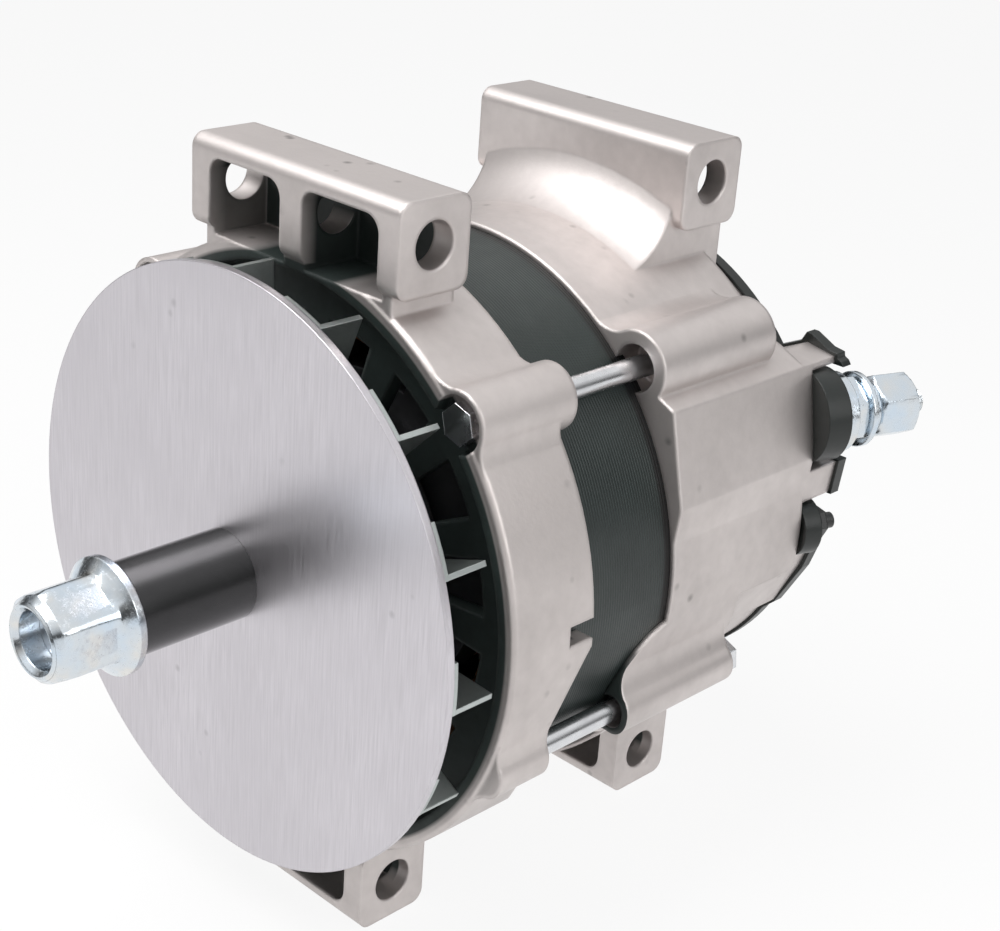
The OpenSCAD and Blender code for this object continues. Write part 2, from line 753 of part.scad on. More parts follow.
module bearing_retainer() color("slategray") difference() {
  ytube(retainer_r, retainer_bore_r, fb_y1, retainer_y1);
  for (k = [0 : 2]) at_angle(90 + 120 * k, retainer_screw_r)
    ycyl(retainer_screw_d / 2 + bolt_clear, fb_y1 - 1, retainer_y1 + 1);
}

module retainer_screws() color("silver") for (k = [0 : 2])
  at_angle(90 + 120 * k, retainer_screw_r) {
    ycyl(retainer_screw_d / 2, fb_y1 - retainer_screw_len, retainer_y1 + eps);
    ycyl(retainer_screw_d / 2 + 1.2, retainer_y1, retainer_y1 + screw_head_h);
  }

// Housings

// A mounting bar with its bore on the X axis and its outer face up
module bar_solid(half) xprism(-half, half)
  translate([0, (bar_cap - bar_base) / 2]) rounded_rect(bar_w, bar_cap + bar_base, bar_corner_r);

// The two pockets of a bar, open at -Y, down to a floor below the bore
module bar_pockets(half, floor_z) {
  w = half - bar_end_wall - bar_rib / 2;
  top = bar_cap - bar_roof;
  for (s = [-1, 1]) translate([s * (bar_rib + w) / 2, 0, 0])
    yprism(-bar_w / 2 - 20, bar_w / 2 - bar_back_wall) union() {
      translate([0, (top + floor_z) / 2]) rounded_rect(w, top - floor_z, pocket_r);
      translate([-w / 2, floor_z]) square([w, pocket_r + 1]);
    }
}

module bolt_places(angles) for (a = angles) at_angle(a, bolt_circle_r) children();

// A slab across the whole machine, which trims pieces to a common face
module slab(y0, y1) translate([-far, y0, -far]) cube([2 * far, y1 - y0, 2 * far]);

// Bolt bosses with their fillets, whose fillets end at web_y1
module boss_runs(angles, body_r, boss_r, y0, y1, web_y1) intersection() {
  slab(y0, y1);
  union() {
    bolt_places(angles) ycyl(boss_r, y0 - 2, y1 + 2);
    boss_webs(angles, body_r, boss_r, y0 - 1, web_y1);
  }
}

// The concave fillets that run from bolt bosses into a round body
module boss_webs(angles, body_r, boss_r, y0, y1) {
  f = boss_fillet_r;
  centre_r = body_r + f;
  reach = pow(bolt_circle_r, 2) + pow(centre_r, 2) - pow(boss_r + f, 2);
  turn = acos(reach / (2 * bolt_circle_r * centre_r));
  yprism(y0, y1) for (a = angles, side = [0, 1]) rotate(a) mirror([0, side]) difference() {
    polygon([[body_r - 3, 0], [bolt_circle_r, 0], polar(centre_r, turn), polar(body_r - 3, turn)]);
    translate(polar(centre_r, turn)) circle(r = f + fillet_bite);
  }
}

// A cylinder whose axis runs outward through each lower bolt
module lower_drums(r, y, from_r) for (a = lower_bolts) at_angle(a, from_r)
  translate([0, y, 0]) rotate([0, 90, 0]) cylinder(h = 60, r = r);

module pedestal(half, y0, y1, z0, z1) translate([-half + pedestal_inset, y0, z0])
  cube([2 * (half - pedestal_inset), y1 - y0, z1 - z0]);

module drive_end_housing() color("silver") difference() {
  top_floor = ring_in_r + 2.5;
  union() {
    yspin() polygon([
      [fb_ir + 5, fb_y0 - fb_lip], [retainer_r, fb_y0 - fb_lip], [retainer_r, wall_y0],
      [ring_in_r - 1, wall_y0], [ring_in_r + 1.5, ring_y0], [ring_r - 1, ring_y0],
      [ring_r, ring_y0 + 1], [ring_r, ring_y1], [ring_in_r, ring_y1], [ring_in_r, wall_y1],
      [retainer_r, wall_y1], [retainer_r, fb_y1], [fb_seat_r, fb_y1], [fb_seat_r, fb_y0],
      [fb_ir + 5, fb_y0]
    ]);
    difference() {
      union() {
        boss_runs(upper_bolts, ring_r, bolt_boss_r, ring_y0 + face_step,
          ring_y1 + front_boss_over, ring_y1 - face_step);
        boss_runs(lower_bolts, ring_r, low_boss_r, ring_y0 + face_step,
          ring_y1 - 4, ring_y1 - 3);
        translate([0, front_bore_y, top_bore_z]) bar_solid(top_bar_half);
        pedestal(top_bar_half, ring_y0 + face_step, front_bar_y1 - pedestal_step, 60, top_bore_z);
        translate([0, front_bore_y, -foot_bore_z]) mirror([0, 0, 1]) bar_solid(foot_bar_half);
        pedestal(foot_bar_half, ring_y0 + face_step, front_bar_y1 - pedestal_step, -foot_bore_z, -60);
      }
      ycyl(ring_in_r + 4, -far, ring_y1 - 2);
      ycyl(ring_in_r, ring_y1 - 3, far);
    }
  }
  ycyl(stator_seat_r, core_y0, far);
  air_windows(wall_y0 - 1, wall_y1 + 1, 0, 0);
  difference() {
    lower_drums(scallop_r, scallop_y + scallop_r, scallop_in_r - 20);
    ycyl(scallop_in_r, -far, far);
  }
  for (k = [0 : 2]) at_angle(90 + 120 * k, retainer_screw_r)
    ycyl(retainer_screw_d / 2 + press_clear, fb_y1 - retainer_screw_len - 1, fb_y1 + 1);
  bolt_places(upper_bolts) {
    ycyl(bolt_r + bolt_clear, ring_y0 - 1, far);
    ycyl(bolt_spot_r, ring_y0 - 5, bolt_seat_y);
  }
  bolt_places(lower_bolts) ycyl(bolt_r + press_clear, lower_tip_y - 1, far);
  translate([0, front_bore_y, top_bore_z]) {
    xcyl(mount_bore_d / 2, -far, far);
    bar_pockets(top_bar_half, top_floor - top_bore_z);
  }
  translate([0, front_bore_y, -foot_bore_z]) mirror([0, 0, 1]) {
    xcyl(mount_bore_d / 2, -far, far);
    bar_pockets(foot_bar_half, top_floor - foot_bore_z);
  }
  translate([ring_in_r - 5, ring_y1 - notch_depth, notch_z - notch_w / 2])
    cube([20, notch_depth + 1, notch_w]);
}

module stator_core() color("#2b3a37") difference() {
  ytube(stator_r, bore_r, core_y0, core_y1);
  for (k = [0 : slot_n - 1]) at_angle((k + 0.5) * 360 / slot_n, bore_r)
    translate([-1, core_y0 - 1, -slot_w / 2]) cube([slot_depth + 1, stator_len + 2, slot_w]);
}

module stator_windings() color("sienna") {
  wire_w = slot_w - 0.6;
  ytube(end_turn_out_r, end_turn_in_r, core_y0 - end_turn_h, core_y0 - 0.3);
  ytube(end_turn_out_r, end_turn_in_r, core_y1 + 0.3, core_y1 + end_turn_h);
  for (k = [0 : slot_n - 1]) at_angle((k + 0.5) * 360 / slot_n, end_turn_in_r)
    translate([1, core_y0 - 1, -wire_w / 2])
      cube([bore_r + slot_depth - end_turn_in_r - 1.4, stator_len + 2, wire_w]);
}

// The corner that is cut away for a terminal, in the terminal's own frame
module terminal_cut(half, inner)
  translate([-half - 2, -half, inner]) cube([100, 2 * half, 60]);

// The block that a terminal's corner is cut into, in the terminal's own frame
module terminal_block(half)
  translate([-half - 2 - recess_wall, -half - recess_wall, -recess_wall])
    cube([2 * half + recess_wall, 2 * (half + recess_wall), recess_depth]);

// Keeps what stands above a height
module above(z) intersection() {
  translate([-far, -far, z]) cube(2 * far);
  children();
}

module box_section(top_points, y0, y1) yprism(y0, y1) polygon(box_points(top_points, 0));

module slip_ring_end_housing() color("silver") difference() {
  union() {
    // Shell
    difference() {
      intersection() {
        slab(lower_socket_y - 1, rear_y1);
        union() {
          ycyl(rear_r, lower_socket_y - 2, low_body_y1);
          above(low_part_z) ycyl(rear_r, low_body_y1 - 1, body_y1);
          ycyl(skirt_r, body_y1 - 1, rear_y1 + 2);
          box_section(box_front_top(0), rear_y0 - 4, body_y1);
          box_section(box_rear_top(0), body_y1 - 2, rear_y1 + 4);
          boss_runs(upper_bolts, rear_r, rear_boss_r, rear_y0 - 6,
            rear_y0 + rear_boss_len, rear_y0 + rear_boss_len + 1);
          boss_runs(lower_bolts, rear_r, low_boss_r, lower_socket_y - 4,
            lower_head_y + face_step, lower_head_y + 1);
          rear_bars();
        }
      }
      // The front face, which the lobes over the stator stand out from
      difference() {
        slab(lower_socket_y - 10, rear_y0);
        lower_drums(lobe_r, lower_socket_y + lobe_r, stator_r - 20);
      }
      ycyl(rear_in_r, rear_y0 - 1, rear_wall_y0);
      above(low_part_z + low_part_wall) ycyl(compartment_r, rear_wall_y1, body_y1 - skirt_wall);
      ycyl(skirt_in_r, rear_wall_y1, rear_y1 + 60);
      air_windows(rear_wall_y0 - 1, rear_wall_y1 + 1, 90, 170);
      yprism(rear_wall_y1, rear_y1 + 1) polygon(box_core_points);
      ycyl(stator_seat_r, lower_socket_y - 20, core_y1);
    }
    // Bearing boss and the three pads of the rectifier
    ytube(rb_boss_r, rb_lip_bore_r, rb_y0, rb_boss_y1);
    for (a = sink_screw_angles) at_angle(a, sink_screw_r) ycyl(sink_pad_r, rear_wall_y1 - 1, neg_y0);
    // Blocks behind the two terminals
    intersection() {
      union() {
        yprism(rear_y0 + 30, rear_y1 - face_step) polygon(box_points(box_rear_top(-face_step), -face_step));
        ycyl(skirt_r - skirt_wall / 2, rear_y0 + 30, rear_y1 - face_step);
      }
      union() {
        on_terminal(out_base) terminal_block(out_recess_half);
        on_terminal(aux_base) terminal_block(aux_recess_half);
      }
    }
  }
  ycyl(rb_seat_r, rb_y0 - 1, rb_y1);
  bolt_places(upper_bolts) {
    ycyl(bolt_socket_r, rear_y0 - 3, rear_y0 + bolt_socket_len);
    ycyl(bolt_r + press_clear, rear_y0, bolt_end_y + 1);
  }
  bolt_places(lower_bolts) {
    ycyl(lower_socket_r, lower_socket_y - 3, lower_socket_y + bolt_socket_len);
    ycyl(bolt_r + bolt_clear, lower_socket_y, lower_head_y + 1);
    ycyl(lower_spot_r, lower_head_y, body_y1 + 1);
  }
  translate([0, rear_bore_y, top_bore_z]) {
    xcyl(mount_bore_d / 2, -far, far);
    mirror([0, 1, 0]) bar_pockets(top_bar_half, rear_pocket_floor - top_bore_z);
  }
  translate([0, rear_bore_y, -foot_bore_z]) mirror([0, 0, 1]) {
    xcyl(mount_bore_d / 2, -far, far);
    bar_pockets(foot_bar_half, rear_pocket_floor - foot_bore_z);
  }
  on_terminal(out_base) terminal_cut(out_recess_half, 0);
  on_terminal(aux_base) terminal_cut(aux_recess_half, 0);
  on_terminal(out_base) {
    cylinder(h = 40, r = output_stud_d / 2 + bolt_clear, center = true);
    translate([0, 0, -22 - recess_wall]) cylinder(h = 22, r = out_pocket_r);
  }
  on_terminal(aux_base) {
    cylinder(h = 40, r = aux_stud_d / 2 + bolt_clear, center = true);
    translate([0, 0, -20 - recess_wall]) cylinder(h = 20, r = aux_head_r + 0.5);
  }
  for (a = sink_screw_angles) at_angle(a, sink_screw_r)
    ycyl(sink_screw_d / 2 + press_clear, neg_y0 - sink_screw_len - 1, neg_y0 + 1);
  for (x = reg_screw_x()) translate([x, 0, reg_z])
    ycyl(sink_screw_d / 2 + press_clear, rear_wall_y1 - 5, rear_wall_y1 + 1);
  for (a = cover_screw_angles) at_angle(a, cover_screw_circle)
    ycyl(cover_screw_d / 2 + press_clear, rear_y1 - cover_screw_len - 1, rear_y1 + 1);
}

// The top bar and the foot bar of the rear housing, with the fillet that runs into the shell
module rear_bars() {
  y0 = rear_bore_y - bar_w / 2;
  y1 = rear_bore_y + bar_w / 2;
  fillet_y = y0 - rear_fillet_r + fillet_sink;
  fillet_axis_r = rear_r - fillet_sink + rear_fillet_r;
  difference() {
    union() {
      translate([0, rear_bore_y, top_bore_z]) mirror([0, 1, 0]) bar_solid(top_bar_half);
      pedestal(top_bar_half, y0 + pedestal_step, y1 - pedestal_step, 60, top_bore_z);
      translate([0, rear_bore_y, -foot_bore_z]) mirror([0, 0, 1]) bar_solid(foot_bar_half);
      pedestal(foot_bar_half, y0 + pedestal_step, y1 - pedestal_step, -foot_bore_z, -60);
      intersection() {
        yspin() difference() {
          translate([skirt_r, fillet_y]) square([fillet_axis_r - skirt_r, rear_bore_y - fillet_y]);
          translate([fillet_axis_r, fillet_y]) circle(r = rear_fillet_r);
        }
        pedestal(top_bar_half, fillet_y - 1, y1, 60, top_bore_z + bar_cap - bar_corner_r);
      }
    }
    ycyl(skirt_r - 1, rear_y0, rear_y1 + 60);
  }
}

// The upper bolts have their heads at the front, the lower ones at the rear
module through_bolts() color("gainsboro") {
  bolt_places(upper_bolts) {
    ycyl(bolt_r, bolt_seat_y - eps, bolt_end_y);
    bolt_head(bolt_seat_y - bolt_head_h);
  }
  bolt_places(lower_bolts) {
    ycyl(bolt_r, lower_tip_y, lower_head_y + eps);
    bolt_head(lower_head_y);
  }
}

module bolt_head(y0) translate([0, y0, 0]) rotate([-90, 0, 0])
  cylinder(h = bolt_head_h, r = bolt_head_flats / sqrt(3), $fn = 6);

// Rectifier

module sink_holes(y0, y1) {
  for (a = sink_screw_angles) at_angle(a, sink_screw_r) ycyl(sink_screw_d / 2 + bolt_clear, y0, y1);
  for (a = diode_angles) at_angle(a, diode_circle_r) ycyl(diode_r + press_clear, y0, y1);
}

module negative_heat_sink() color("darkgray") difference() {
  arc_plate(sink_out_r, sink_in_r, start_angle, neg_end_angle, neg_y0, neg_y1);
  sink_holes(neg_y0 - 1, neg_y1 + 1);
  for (a = lead_angles) at_angle(a, lead_circle_r) ycyl(lead_r + 1, neg_y0 - 1, neg_y1 + 1);
}

module positive_heat_sink() color("lightgray") difference() {
  arc_plate(sink_out_r, sink_in_r, start_angle, pos_end_angle, pos_y0, pos_y1);
  sink_holes(pos_y0 - 1, pos_y1 + 1);
}

module diode_set(y0) for (a = diode_angles) at_angle(a, diode_circle_r) ycyl(diode_r, y0, y0 + diode_h);

module negative_diodes() color("dimgray") diode_set(neg_y0 - 3);

module positive_diodes() color("dimgray") diode_set(pos_y1 + 3 - diode_h);

module rectifier_insulators() color("ivory") for (a = sink_screw_angles)
  at_angle(a, sink_screw_r) ytube(4.5, sink_screw_d / 2 + bolt_clear, neg_y1, pos_y0);

module rectifier_screws() color("silver") for (a = sink_screw_angles)
  at_angle(a, sink_screw_r) {
    ycyl(sink_screw_d / 2, neg_y0 - sink_screw_len, pos_y1 + eps);
    ycyl(sink_screw_d / 2 + 2, pos_y1, pos_y1 + sink_head_h);
  }

block_y0 = neg_y0 - 3 + diode_h;
block_y1 = pos_y1 + 3 - diode_h;
lead_r = 1.2;
lead_circle_r = 66;
lead_angles = [-124, -101, -56];

module phase_terminal_block() color("#202020") difference() {
  arc_plate(sink_out_r - 1, sink_in_r + 8, start_angle + 24, neg_end_angle - 24, block_y0, block_y1);
  for (a = lead_angles) at_angle(a, lead_circle_r) ycyl(lead_r + bolt_clear, block_y0 - 1, block_y1 + 1);
  for (a = sink_screw_angles) at_angle(a, sink_screw_r) ycyl(sink_pad_r, block_y0 - 1, block_y1 + 1);
}

module phase_leads() color("sienna") for (a = lead_angles) at_angle(a, lead_circle_r)
  ycyl(lead_r, core_y1 + end_turn_h, block_y1);

// Regulator, brush holder and brushes

function reg_screw_x() = [reg_x - reg_w / 2 + 4, reg_x + reg_w / 2 - 4];

module voltage_regulator() color("#303030") difference() {
  translate([reg_x - reg_w / 2, rear_wall_y1, reg_z - reg_h / 2]) cube([reg_w, reg_t, reg_h]);
  for (x = reg_screw_x()) translate([x, 0, reg_z])
    ycyl(sink_screw_d / 2 + bolt_clear, rear_wall_y1 - 1, rear_wall_y1 + reg_t + 1);
}

module regulator_screws() color("silver") for (x = reg_screw_x()) translate([x, 0, reg_z]) {
  ycyl(sink_screw_d / 2, rear_wall_y1 - 4, rear_wall_y1 + reg_t + eps);
  ycyl(sink_screw_d / 2 + 1.8, rear_wall_y1 + reg_t, rear_wall_y1 + reg_t + sink_head_h);
}

module brush_holder() color("#26221f") difference() {
  translate([-holder_half, holder_y0, holder_z0])
    cube([2 * holder_half, holder_y1 - holder_y0, holder_z1 - holder_z0]);
  ycyl(rb_boss_r + 0.5, holder_y0 - 1, rb_boss_y1 + 0.5);
  for (y = brush_y) translate([-brush_w / 2 - brush_clear, y - brush_t / 2 - brush_clear, holder_z0 - 1])
    cube([brush_w + 2 * brush_clear, brush_t + 2 * brush_clear, spring_z1 - holder_z0 + 1]);
}

module brush(y) translate([-brush_w / 2, y - brush_t / 2, brush_z0]) cube([brush_w, brush_t, brush_len]);

module front_brush() color("#4a4a4a") brush(brush_y[0]);

module rear_brush() color("#4a4a4a") brush(brush_y[1]);

// A coil spring standing on Z, swept from a small polygon
module coil_spring(r, wire, z0, z1, turns) {
  steps = 14;
  sides = 6;
  n = turns * steps;
  rise = (z1 - z0 - 2 * wire) / n;
  points = [for (i = [0 : n], j = [0 : sides - 1]) let (
    a = i * 360 / steps, b = j * 360 / sides, rr = r + wire * cos(b)
  ) [rr * cos(a), rr * sin(a), z0 + wire + i * rise + wire * sin(b)]];
  walls = [for (i = [0 : n - 1], j = [0 : sides - 1]) let (
    k = i * sides + j, m = i * sides + (j + 1) % sides
  ) [k, k + sides, m + sides, m]];
  ends = [[for (j = [0 : sides - 1]) j], [for (j = [sides - 1 : -1 : 0]) n * sides + j]];
  polyhedron(points, concat(walls, ends));
}

module brush_spring(y) translate([0, y, 0])
  coil_spring(min(spring_r, brush_t / 2 - spring_wire), spring_wire / 2, brush_z1, spring_z1, spring_turns);

module front_brush_spring() color("silver") brush_spring(brush_y[0]);

module rear_brush_spring() color("silver") brush_spring(brush_y[1]);

// Terminals

module output_busbar() color("peru") difference() {
  union() {
    translate([busbar_x, pos_y1, 4]) cube([busbar_w, busbar_t, out_base[2] + 2]);
    translate([busbar_x, pos_y1, out_base[2] - busbar_tab_w / 2])
      cube([busbar_t, busbar_rise, busbar_tab_w]);
    on_terminal(out_base) {
      translate([0, 0, out_head_s]) cylinder(h = busbar_t - 0.05, r = busbar_ring_r);
      translate([-busbar_tab_len - 2.5, -busbar_tab_w / 2, out_head_s])
        cube([busbar_tab_len, busbar_tab_w, busbar_t - 0.05]);
    }
  }
  on_terminal(out_base) cylinder(h = 60, r = output_stud_d / 2 + bolt_clear, center = true);
}

module output_stud() color("silver") on_terminal(out_base) {
  translate([0, 0, out_head_s - eps])
    cylinder(h = out_free_s - out_head_s + 2 * eps, r = output_stud_d / 2 - thread_ease);
  translate([0, 0, out_free_s]) cylinder(h = out_tip_s - out_free_s, r = output_stud_d / 2);
  translate([0, 0, out_head_s - out_head_t]) cylinder(h = out_head_t, r = out_head_r, $fn = 6);
}

module output_insulator() color("#1c1f1e") on_terminal(out_base) difference() {
  cylinder(h = output_insulator_t, r = output_insulator_r);
  cylinder(h = 99, r = output_stud_d / 2 + press_clear, center = true);
}

module output_clamp_nut() color("lightgray") on_terminal(out_base) difference() {
  translate([0, 0, clamp_s]) union() {
    cylinder(h = 2.5, r = clamp_nut_r);
    translate([0, 0, 2.5 - eps]) cylinder(h = clamp_nut_h - 2.5 + eps, r = clamp_nut_r - 1.2, $fn = 6);
  }
  cylinder(h = 99, r = output_stud_d / 2 + press_clear, center = true);
}

module output_washers() color("silver") on_terminal(out_base) difference() {
  union() {
    translate([0, 0, washer_s]) cylinder(h = washer_t, r = washer_r);
    translate([0, 0, lock_s - eps]) cylinder(h = lock_washer_t + eps, r = lock_washer_r);
  }
  cylinder(h = 99, r = output_stud_d / 2 + bolt_clear, center = true);
}

module output_nut() color("lightgray") on_terminal(out_base) difference() {
  translate([0, 0, out_nut_s]) cylinder(h = out_nut_h, r = out_nut_flats / sqrt(3), $fn = 6);
  cylinder(h = 99, r = output_stud_d / 2 + press_clear, center = true);
}

module aux_insulator() color("#181a1a") on_terminal(aux_base) difference() {
  cylinder(h = aux_insulator_t, r = aux_insulator_r);
  cylinder(h = 99, r = aux_stud_d / 2 + press_clear, center = true);
}

module aux_stud() color("#202020") on_terminal(aux_base) {
  translate([0, 0, -recess_wall - 1])
    cylinder(h = aux_free_s + recess_wall + 1 + eps, r = aux_stud_d / 2 - thread_ease);
  translate([0, 0, aux_free_s]) cylinder(h = aux_tip_s - aux_free_s, r = aux_stud_d / 2);
  translate([0, 0, -recess_wall - aux_head_t]) cylinder(h = aux_head_t - 0.05, r = aux_head_r);
}

module aux_nut() color("#202020") on_terminal(aux_base) difference() {
  translate([0, 0, aux_insulator_t]) cylinder(h = aux_nut_h, r = aux_stud_d / 2 + 2.6, $fn = 6);
  cylinder(h = 99, r = aux_stud_d / 2 + press_clear, center = true);
}

// Rear cover

module cover_outline() {
  circle(r = skirt_r + cover_lip);
  polygon(box_points(box_rear_top(cover_lip), cover_lip));
  polygon([
    [box_out_x - 22, 48], [box_out_x - 17.2, 57], [box_out_x - 15.5, 57],
    [box_out_x - 3.7, 51.4], [box_out_x - 0.7, 47.2], [box_out_x + 0.2, 38], [box_out_x - 7, 36]
  ]);
}

module rear_cover() color("#151515") difference() {
  union() {
    yprism(rear_y1, cover_y1) cover_outline();
    ycone(cover_dome_r, cover_dome_r - 4, cover_y1 - eps, cover_y1 + cover_dome_h);
  }
  ycone(cover_dome_r - 2.5, cover_dome_r - 6.5, rear_y1 - 1, cover_y1 + cover_dome_h - 2.5);
  for (k = [-3 : 3]) translate([k * 9 - 1.5, cover_y1, -28 + abs(k) * 3])
    cube([3, 40, 56 - abs(k) * 6]);
  for (a = cover_screw_angles) at_angle(a, cover_screw_circle)
    ycyl(cover_screw_d / 2 + bolt_clear, rear_y1 - 1, cover_y1 + 1);
  on_terminal(out_base) terminal_cut(output_insulator_r + 0.3, -1);
  on_terminal(aux_base) terminal_cut(aux_insulator_r + 0.3, -1);
}

module cover_screws() color("silver") for (a = cover_screw_angles)
  at_angle(a, cover_screw_circle) {
    ycyl(cover_screw_d / 2, rear_y1 - cover_screw_len, cover_y1 + eps);
    ycyl(cover_screw_head_r, cover_y1, cover_y1 + cover_screw_head_h);
  }

shaft();
spacer_sleeve();
pulley_nut();
fan_disc();
fan_blades();
fan_collar();
front_claw_pole();
rear_claw_pole();
rotor_core();
coil_bobbin();
field_coil();
slip_ring_hub();
slip_rings();
front_bearing_inner();
front_bearing_outer();
front_bearing_balls();
front_bearing_cage();
rear_bearing_inner();
rear_bearing_outer();
rear_bearing_balls();
rear_bearing_cage();
bearing_retainer();
retainer_screws();
drive_end_housing();
stator_core();
stator_windings();
slip_ring_end_housing();
through_bolts();
negative_heat_sink();
positive_heat_sink();
negative_diodes();
positive_diodes();
rectifier_insulators();
rectifier_screws();
phase_terminal_block();
phase_leads();
voltage_regulator();
regulator_screws();
brush_holder();
front_brush();
rear_brush();
front_brush_spring();
rear_brush_spring();
output_busbar();
output_stud();
output_insulator();
output_clamp_nut();
output_washers();
output_nut();
aux_insulator();
aux_stud();
aux_nut();
rear_cover();
cover_screws();
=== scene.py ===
"""Looks of a heavy-duty alternator: finishes, machined details, studio and camera."""

import json
import math

import bmesh
import bpy
from bpy.props import FloatProperty, FloatVectorProperty, IntProperty, PointerProperty
from bpy.types import Operator, Panel, PropertyGroup
from mathutils import Matrix, Vector


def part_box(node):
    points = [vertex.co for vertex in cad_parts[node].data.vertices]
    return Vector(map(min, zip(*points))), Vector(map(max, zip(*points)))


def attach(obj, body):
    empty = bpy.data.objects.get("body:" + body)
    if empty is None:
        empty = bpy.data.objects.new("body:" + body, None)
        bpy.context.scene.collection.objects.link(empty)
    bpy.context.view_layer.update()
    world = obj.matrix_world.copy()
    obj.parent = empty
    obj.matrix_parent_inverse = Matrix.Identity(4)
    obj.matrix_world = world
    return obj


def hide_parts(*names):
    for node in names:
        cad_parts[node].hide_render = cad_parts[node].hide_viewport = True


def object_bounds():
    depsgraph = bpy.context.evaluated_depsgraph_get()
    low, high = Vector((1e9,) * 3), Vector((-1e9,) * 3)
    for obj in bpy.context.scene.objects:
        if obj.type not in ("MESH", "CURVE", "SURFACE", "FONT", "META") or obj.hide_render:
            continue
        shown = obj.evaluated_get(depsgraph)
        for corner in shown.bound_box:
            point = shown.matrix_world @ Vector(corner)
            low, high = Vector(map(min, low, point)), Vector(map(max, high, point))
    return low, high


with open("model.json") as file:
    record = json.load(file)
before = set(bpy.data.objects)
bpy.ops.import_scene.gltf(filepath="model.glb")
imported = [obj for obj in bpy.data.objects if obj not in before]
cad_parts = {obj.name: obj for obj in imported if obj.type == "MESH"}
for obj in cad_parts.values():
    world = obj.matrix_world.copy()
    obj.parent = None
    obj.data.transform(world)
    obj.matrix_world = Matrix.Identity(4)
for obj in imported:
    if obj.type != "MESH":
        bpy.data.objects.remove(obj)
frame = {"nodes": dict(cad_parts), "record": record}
CAD_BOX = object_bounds()
NODES = frame["nodes"]
MM = 0.001

# Where the castings carry painted shade: inside the drums, and in the pockets of the bars. BAR_FROM is the
# height above the shaft from which a face belongs to a bar and not to the drum.
FRONT_DRUM_RADIUS = 87.6 * MM
FRONT_DRUM_DEPTH = 28.0 * MM
REAR_DRUM_RADIUS = 66.0 * MM
REAR_DRUM_END = 165.2 * MM
REAR_RIM_DEPTH = 8.0 * MM
BAR_FROM = 85.0 * MM
POCKET_DEPTH = 20.8 * MM
POCKET_HALF = 34.8 * MM
POCKET_ROOF = 4.7 * MM

# How far from its rear end the stator's stack of sheets carries a painted shadow, where it meets the rear
# housing
STACK_SHADOW_DEPTH = 6.2 * MM

# What the modelled nuts, washers and stud share: their slot in the record, the radius inside the nuts
# of the output stud, and the angle in degrees under which an edge looks smooth
ZINC = "zinc_steel"
STUD_BORE = 4.05 * MM
SMOOTH_ANGLE = 28.0

# How far the floor lies under the feet
FLOOR_GAP = 0.3 * MM

bl_info = {
    "name": "Alternator Looks",
    "version": (1, 0, 0),
    "blender": (4, 5, 0),
    "location": "View3D > Sidebar > Alternator",
    "description": "Builds the finishes, the machined details and the studio of an alternator",
    "category": "Object",
}


# Sizes and colours that a user would change


class CastingSettings(PropertyGroup):
    """Bare cast aluminium of the two housings"""

    color: FloatVectorProperty(
        name="Colour", description="Colour of the bare casting", subtype="COLOR",
        size=3, min=0, max=1, default=(0.62, 0.575, 0.56),
    )
    grain: FloatProperty(
        name="Grain", description="Size of the cast grain", unit="LENGTH", default=0.0012, min=0.0002,
    )
    edge: FloatProperty(
        name="Edge radius", description="Radius that the edges look rounded to", unit="LENGTH",
        default=0.0016, min=0.0,
    )
    # The colour painted as shade inside the drums, in the pockets of the bars and on the rear rim
    painted_shade_color: FloatVectorProperty(
        name="Coat", description="Colour of the dark coat inside the openings", subtype="COLOR",
        size=3, min=0, max=1, default=(0.022, 0.031, 0.029),
    )


class SheetSettings(PropertyGroup):
    """Brushed steel of the fan"""

    color: FloatVectorProperty(
        name="Colour", description="Colour of the brushed disc", subtype="COLOR",
        size=3, min=0, max=1, default=(0.66, 0.635, 0.67),
    )
    streak: FloatProperty(
        name="Streak width", description="Width of the brush marks", unit="LENGTH",
        default=0.0007, min=0.0001,
    )


class HardwareSettings(PropertyGroup):
    """Plated nuts, washers and threads"""

    zinc_color: FloatVectorProperty(
        name="Zinc colour", description="Colour of the bright plating", subtype="COLOR",
        size=3, min=0, max=1, default=(0.68, 0.72, 0.75),
    )
    stud_pitch: FloatProperty(
        name="Stud pitch", description="Pitch of the thread on the output stud", unit="LENGTH",
        default=0.00125, min=0.0005,
    )
    nut_segments: IntProperty(
        name="Nut segments", description="Points around each nut, in sixes", default=72, min=12,
    )


class StudioSettings(PropertyGroup):
    """Camera, lamps and floor"""

    azimuth: FloatProperty(
        name="Azimuth", description="Camera angle round the object", subtype="ANGLE",
        default=math.radians(42.8),
    )
    elevation: FloatProperty(
        name="Elevation", description="Camera angle above the horizon", subtype="ANGLE",
        default=math.radians(23.6),
    )
    roll: FloatProperty(
        name="Roll", description="Turn of the camera about its own view", subtype="ANGLE",
        default=math.radians(4.2),
    )
    place: FloatVectorProperty(
        name="Place", description="Where the camera stands", subtype="TRANSLATION", unit="LENGTH",
        size=3, default=(0.3689, -0.2908, 0.2412),
    )
    lens: FloatProperty(
        name="Lens", description="Focal length for a 36 mm wide sensor, in millimetres", default=67.9,
    )
    key_power: FloatProperty(name="Key", description="Power of the top lamp", unit="POWER", default=7.0)
    fill_power: FloatProperty(name="Fill", description="Power of the side lamp", unit="POWER", default=2.2)
    floor_color: FloatVectorProperty(
        name="Floor", description="Colour of the floor", subtype="COLOR",
        size=3, min=0, max=1, default=(0.92, 0.92, 0.92),
    )


class AlternatorSettings(PropertyGroup):
    """All settings of the add-on"""

    casting: PointerProperty(type=CastingSettings)
    sheet: PointerProperty(type=SheetSettings)
    hardware: PointerProperty(type=HardwareSettings)
    studio: PointerProperty(type=StudioSettings)


# Shader node helpers


